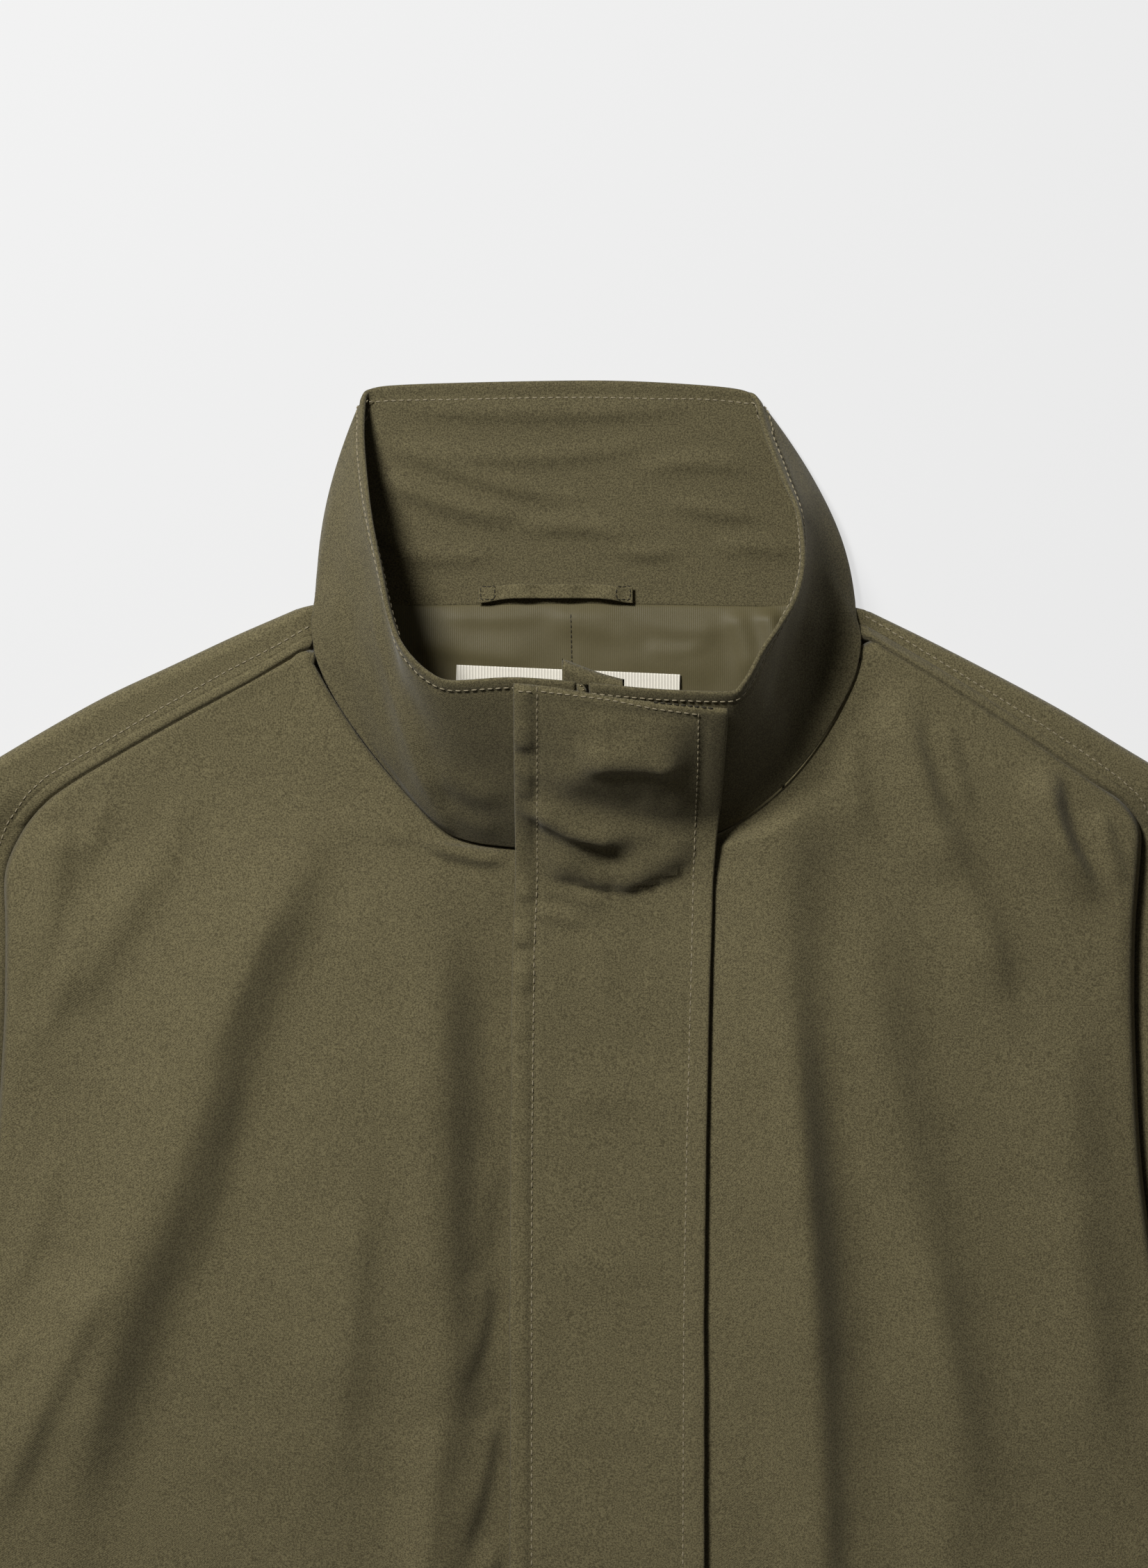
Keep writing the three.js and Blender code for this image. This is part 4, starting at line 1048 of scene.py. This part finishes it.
class Paint:
    """A material's nodes."""

    def __init__(self, name):
        self.material = bpy.data.materials.new(name)
        self.material.use_nodes = True
        self.tree = self.material.node_tree
        self.shader = self.tree.nodes["Principled BSDF"]

    def node(self, kind, settings, inputs, output=0):
        node = self.tree.nodes.new(kind)
        for key, value in settings.items():
            setattr(node, key, value)
        for key, value in inputs.items():
            self.put(node.inputs[key], value)
        return Value(self, node.outputs[output])

    def put(self, socket, value):
        if isinstance(value, Value):
            self.tree.links.new(value.socket, socket)
        else:
            socket.default_value = value

    def coordinates(self, kind="Object"):
        return self.node("ShaderNodeTexCoord", {}, {}, kind)

    def parts(self, vector):
        node = self.tree.nodes.new("ShaderNodeSeparateXYZ")
        self.put(node.inputs[0], vector)
        return [Value(self, socket) for socket in node.outputs]

    def noise(self, vector, scale, detail):
        return self.node("ShaderNodeTexNoise", {}, {"Vector": vector, "Scale": scale, "Detail": detail})

    def blend(self, factor, a, b):
        """A colour between a and b. Inputs 0, 6 and 7 are the factor and the two colours."""
        inputs = {0: factor, 6: rgba(a), 7: rgba(b)}
        return self.node("ShaderNodeMix", {"data_type": "RGBA"}, inputs, 2)

    def bump(self, height, distance):
        return self.node("ShaderNodeBump", {}, {"Height": height, "Distance": distance, "Strength": 1.0})

    def finish(self, **sockets):
        for name, value in sockets.items():
            self.put(self.shader.inputs[name.replace("_", " ")], value)
        return self.material


def rgba(colour):
    return (*colour, 1.0)


def shade(colour, by):
    return tuple(c * by for c in colour)


def twill(name, light, dark):
    """Cotton twill: fine diagonal ribs, flecked threads and soft patches."""
    paint = Paint(name)
    place = paint.coordinates()
    u, v, _ = paint.parts(paint.coordinates("UV"))
    ribs = (u + v * 0.8).wave(TWILL_PITCH)
    threads = (u - v * 1.3).wave(TWILL_PITCH * 1.15)
    fleck = paint.noise(place, 1500, 1.0)
    grain = paint.noise(place, 420, 2.0)
    patch = paint.noise(place, 22, 3.0)
    tone = (
        ribs * 0.08 + 0.5 + threads * 0.05
        + (fleck - 0.5) * 2.6 + (grain - 0.5) * 0.35 + (patch - 0.5) * 0.2
    )
    return paint.finish(
        Base_Color=paint.blend(tone, dark, light),
        Roughness=(grain - 0.5) * 0.12 + 0.86,
        Sheen_Weight=0.12,
        Sheen_Roughness=0.5,
        Specular_IOR_Level=0.28,
        Normal=paint.bump(ribs * 0.3 + threads * 0.15 + fleck, 0.00006),
    )


def satin(name):
    """The lining: smoother, greyer, with fine upright threads and a soft gloss."""
    paint = Paint(name)
    place = paint.coordinates()
    x, _, _ = paint.parts(place)
    cloud = paint.noise(place, 40, 2.0)
    grain = paint.noise(place, 900, 1.0)
    tone = cloud * 0.6 + grain * 0.4
    return paint.finish(
        Base_Color=paint.blend(tone, shade(LINING_COLOUR, 0.86), shade(LINING_COLOUR, 1.2)),
        Roughness=cloud * 0.1 + 0.5,
        Specular_IOR_Level=0.25,
        Normal=paint.bump(x.wave(SATIN_PITCH) * 0.5 + grain * 0.6, 0.00004),
    )


def label_weave(name):
    """The label: cream satin with fine upright ribs."""
    paint = Paint(name)
    place = paint.coordinates()
    x, _, _ = paint.parts(place)
    ribs = x.wave(LABEL_PITCH)
    grain = paint.noise(place, 700, 1.0)
    tone = ribs * 0.25 + grain * 0.6 + 0.1
    return paint.finish(
        Base_Color=paint.blend(tone, shade(LABEL_COLOUR, 0.9), LABEL_COLOUR),
        Roughness=grain * 0.1 + 0.5,
        Normal=paint.bump(ribs + grain * 0.5, 0.00008),
    )


def flecked(name, colour, dark, noise, rough, vary, metallic=0.0):
    """A colour flecked with a darker shade of itself."""
    paint = Paint(name)
    grain = paint.noise(paint.coordinates(), *noise)
    shown = paint.blend(grain, shade(colour, dark), colour)
    return paint.finish(Base_Color=shown, Metallic=metallic, Roughness=grain * vary + rough)


def studio():
    """Pale floor, a soft key light from the upper left and a camera straight above."""
    bpy.ops.mesh.primitive_plane_add(size=FLOOR_SIZE, location=(0, 0, FLOOR_Z))
    floor = bpy.context.object
    floor.name = "floor"
    floor.data.materials.append(Paint("pale_floor").finish(
        Base_Color=rgba(FLOOR_COLOUR), Roughness=0.9,
        Emission_Color=rgba(WHITE), Emission_Strength=FLOOR_GLOW))

    camera = linked("camera", bpy.data.cameras.new("camera"))
    x = (PHOTO[0] / 2 - PHOTO_ORIGIN[0]) * PIXEL
    y = (PHOTO_ORIGIN[1] - PHOTO[1] / 2) * PIXEL - MIDDLE[1]
    camera.location = (x * MM, y * MM, CAMERA_HEIGHT)
    camera.data.sensor_width = SENSOR
    camera.data.sensor_fit = "HORIZONTAL"
    camera.data.lens = SENSOR * (CAMERA_HEIGHT - SCALE_HEIGHT) / (PHOTO[0] * PIXEL * MM)
    bpy.context.scene.camera = camera

    for name, (place, size, power) in LIGHTS.items():
        light = linked(name, bpy.data.lights.new(name, "AREA"))
        light.data.energy = power
        light.data.size = size
        light.location = place
        aim = Vector(AIM) - Vector(place)
        light.rotation_euler = aim.to_track_quat("-Z", "Y").to_euler()
    world = bpy.data.worlds.new("studio")
    bpy.context.scene.world = world
    world.use_nodes = True
    background = world.node_tree.nodes["Background"]
    background.inputs["Color"].default_value = rgba(WHITE)
    background.inputs["Strength"].default_value = WORLD_LIGHT
    bpy.context.scene.view_settings.view_transform = "Standard"


shell = twill("olive_twill", OLIVE_LIGHT, OLIVE_DARK)
# The collar's twill is the shell's with painted shade: darker all over to stand for the shade it lies in
collar_twill_in_painted_shade = twill("collar_olive_twill_painted_shade", shade(OLIVE_LIGHT, COLLAR_PAINTED_SHADE), shade(OLIVE_DARK, COLLAR_PAINTED_SHADE))
lining_satin = satin("lining_satin")
label_satin = label_weave("label_weave")
thread = flecked("tan_thread", THREAD_COLOUR, 0.6, (2500, 1.0), 0.7, 0.1)
dark_stitch_thread_and_shade = flecked("dark_stitch_thread_and_shade", DARK_STITCH_AND_SHADE_COLOUR, 0.6, (2500, 1.0), 0.7, 0.1)
brass = flecked("zip_brass", BRASS, 0.5, (800, 2.0), 0.3, 0.2, 1.0)

mirrored_lower = [(-a, b, -c, d, -e, f, g, h) for a, b, c, d, e, f, g, h in SLEEVE_LOWER]
pieces = {
    "back": back(),
    "front_right": front("front_right", FRONT_RIGHT, -1),
    "front_left": front("front_left", FRONT_LEFT, 1),
    "sleeve_right": sleeve("sleeve_right", SLEEVE_RIGHT + mirrored_lower, -1),
    "sleeve_left": sleeve("sleeve_left", SLEEVE_LEFT + SLEEVE_LOWER, 1),
    "collar": collar(),
    "placket": placket(),
    "zip_guard": zip_guard(),
    "lining": lining(),
    "label": label(),
    "hanger_loop": hanger_loop(),
    "zip_tape": zip_chain(),
}
sewing(pieces)
studio()
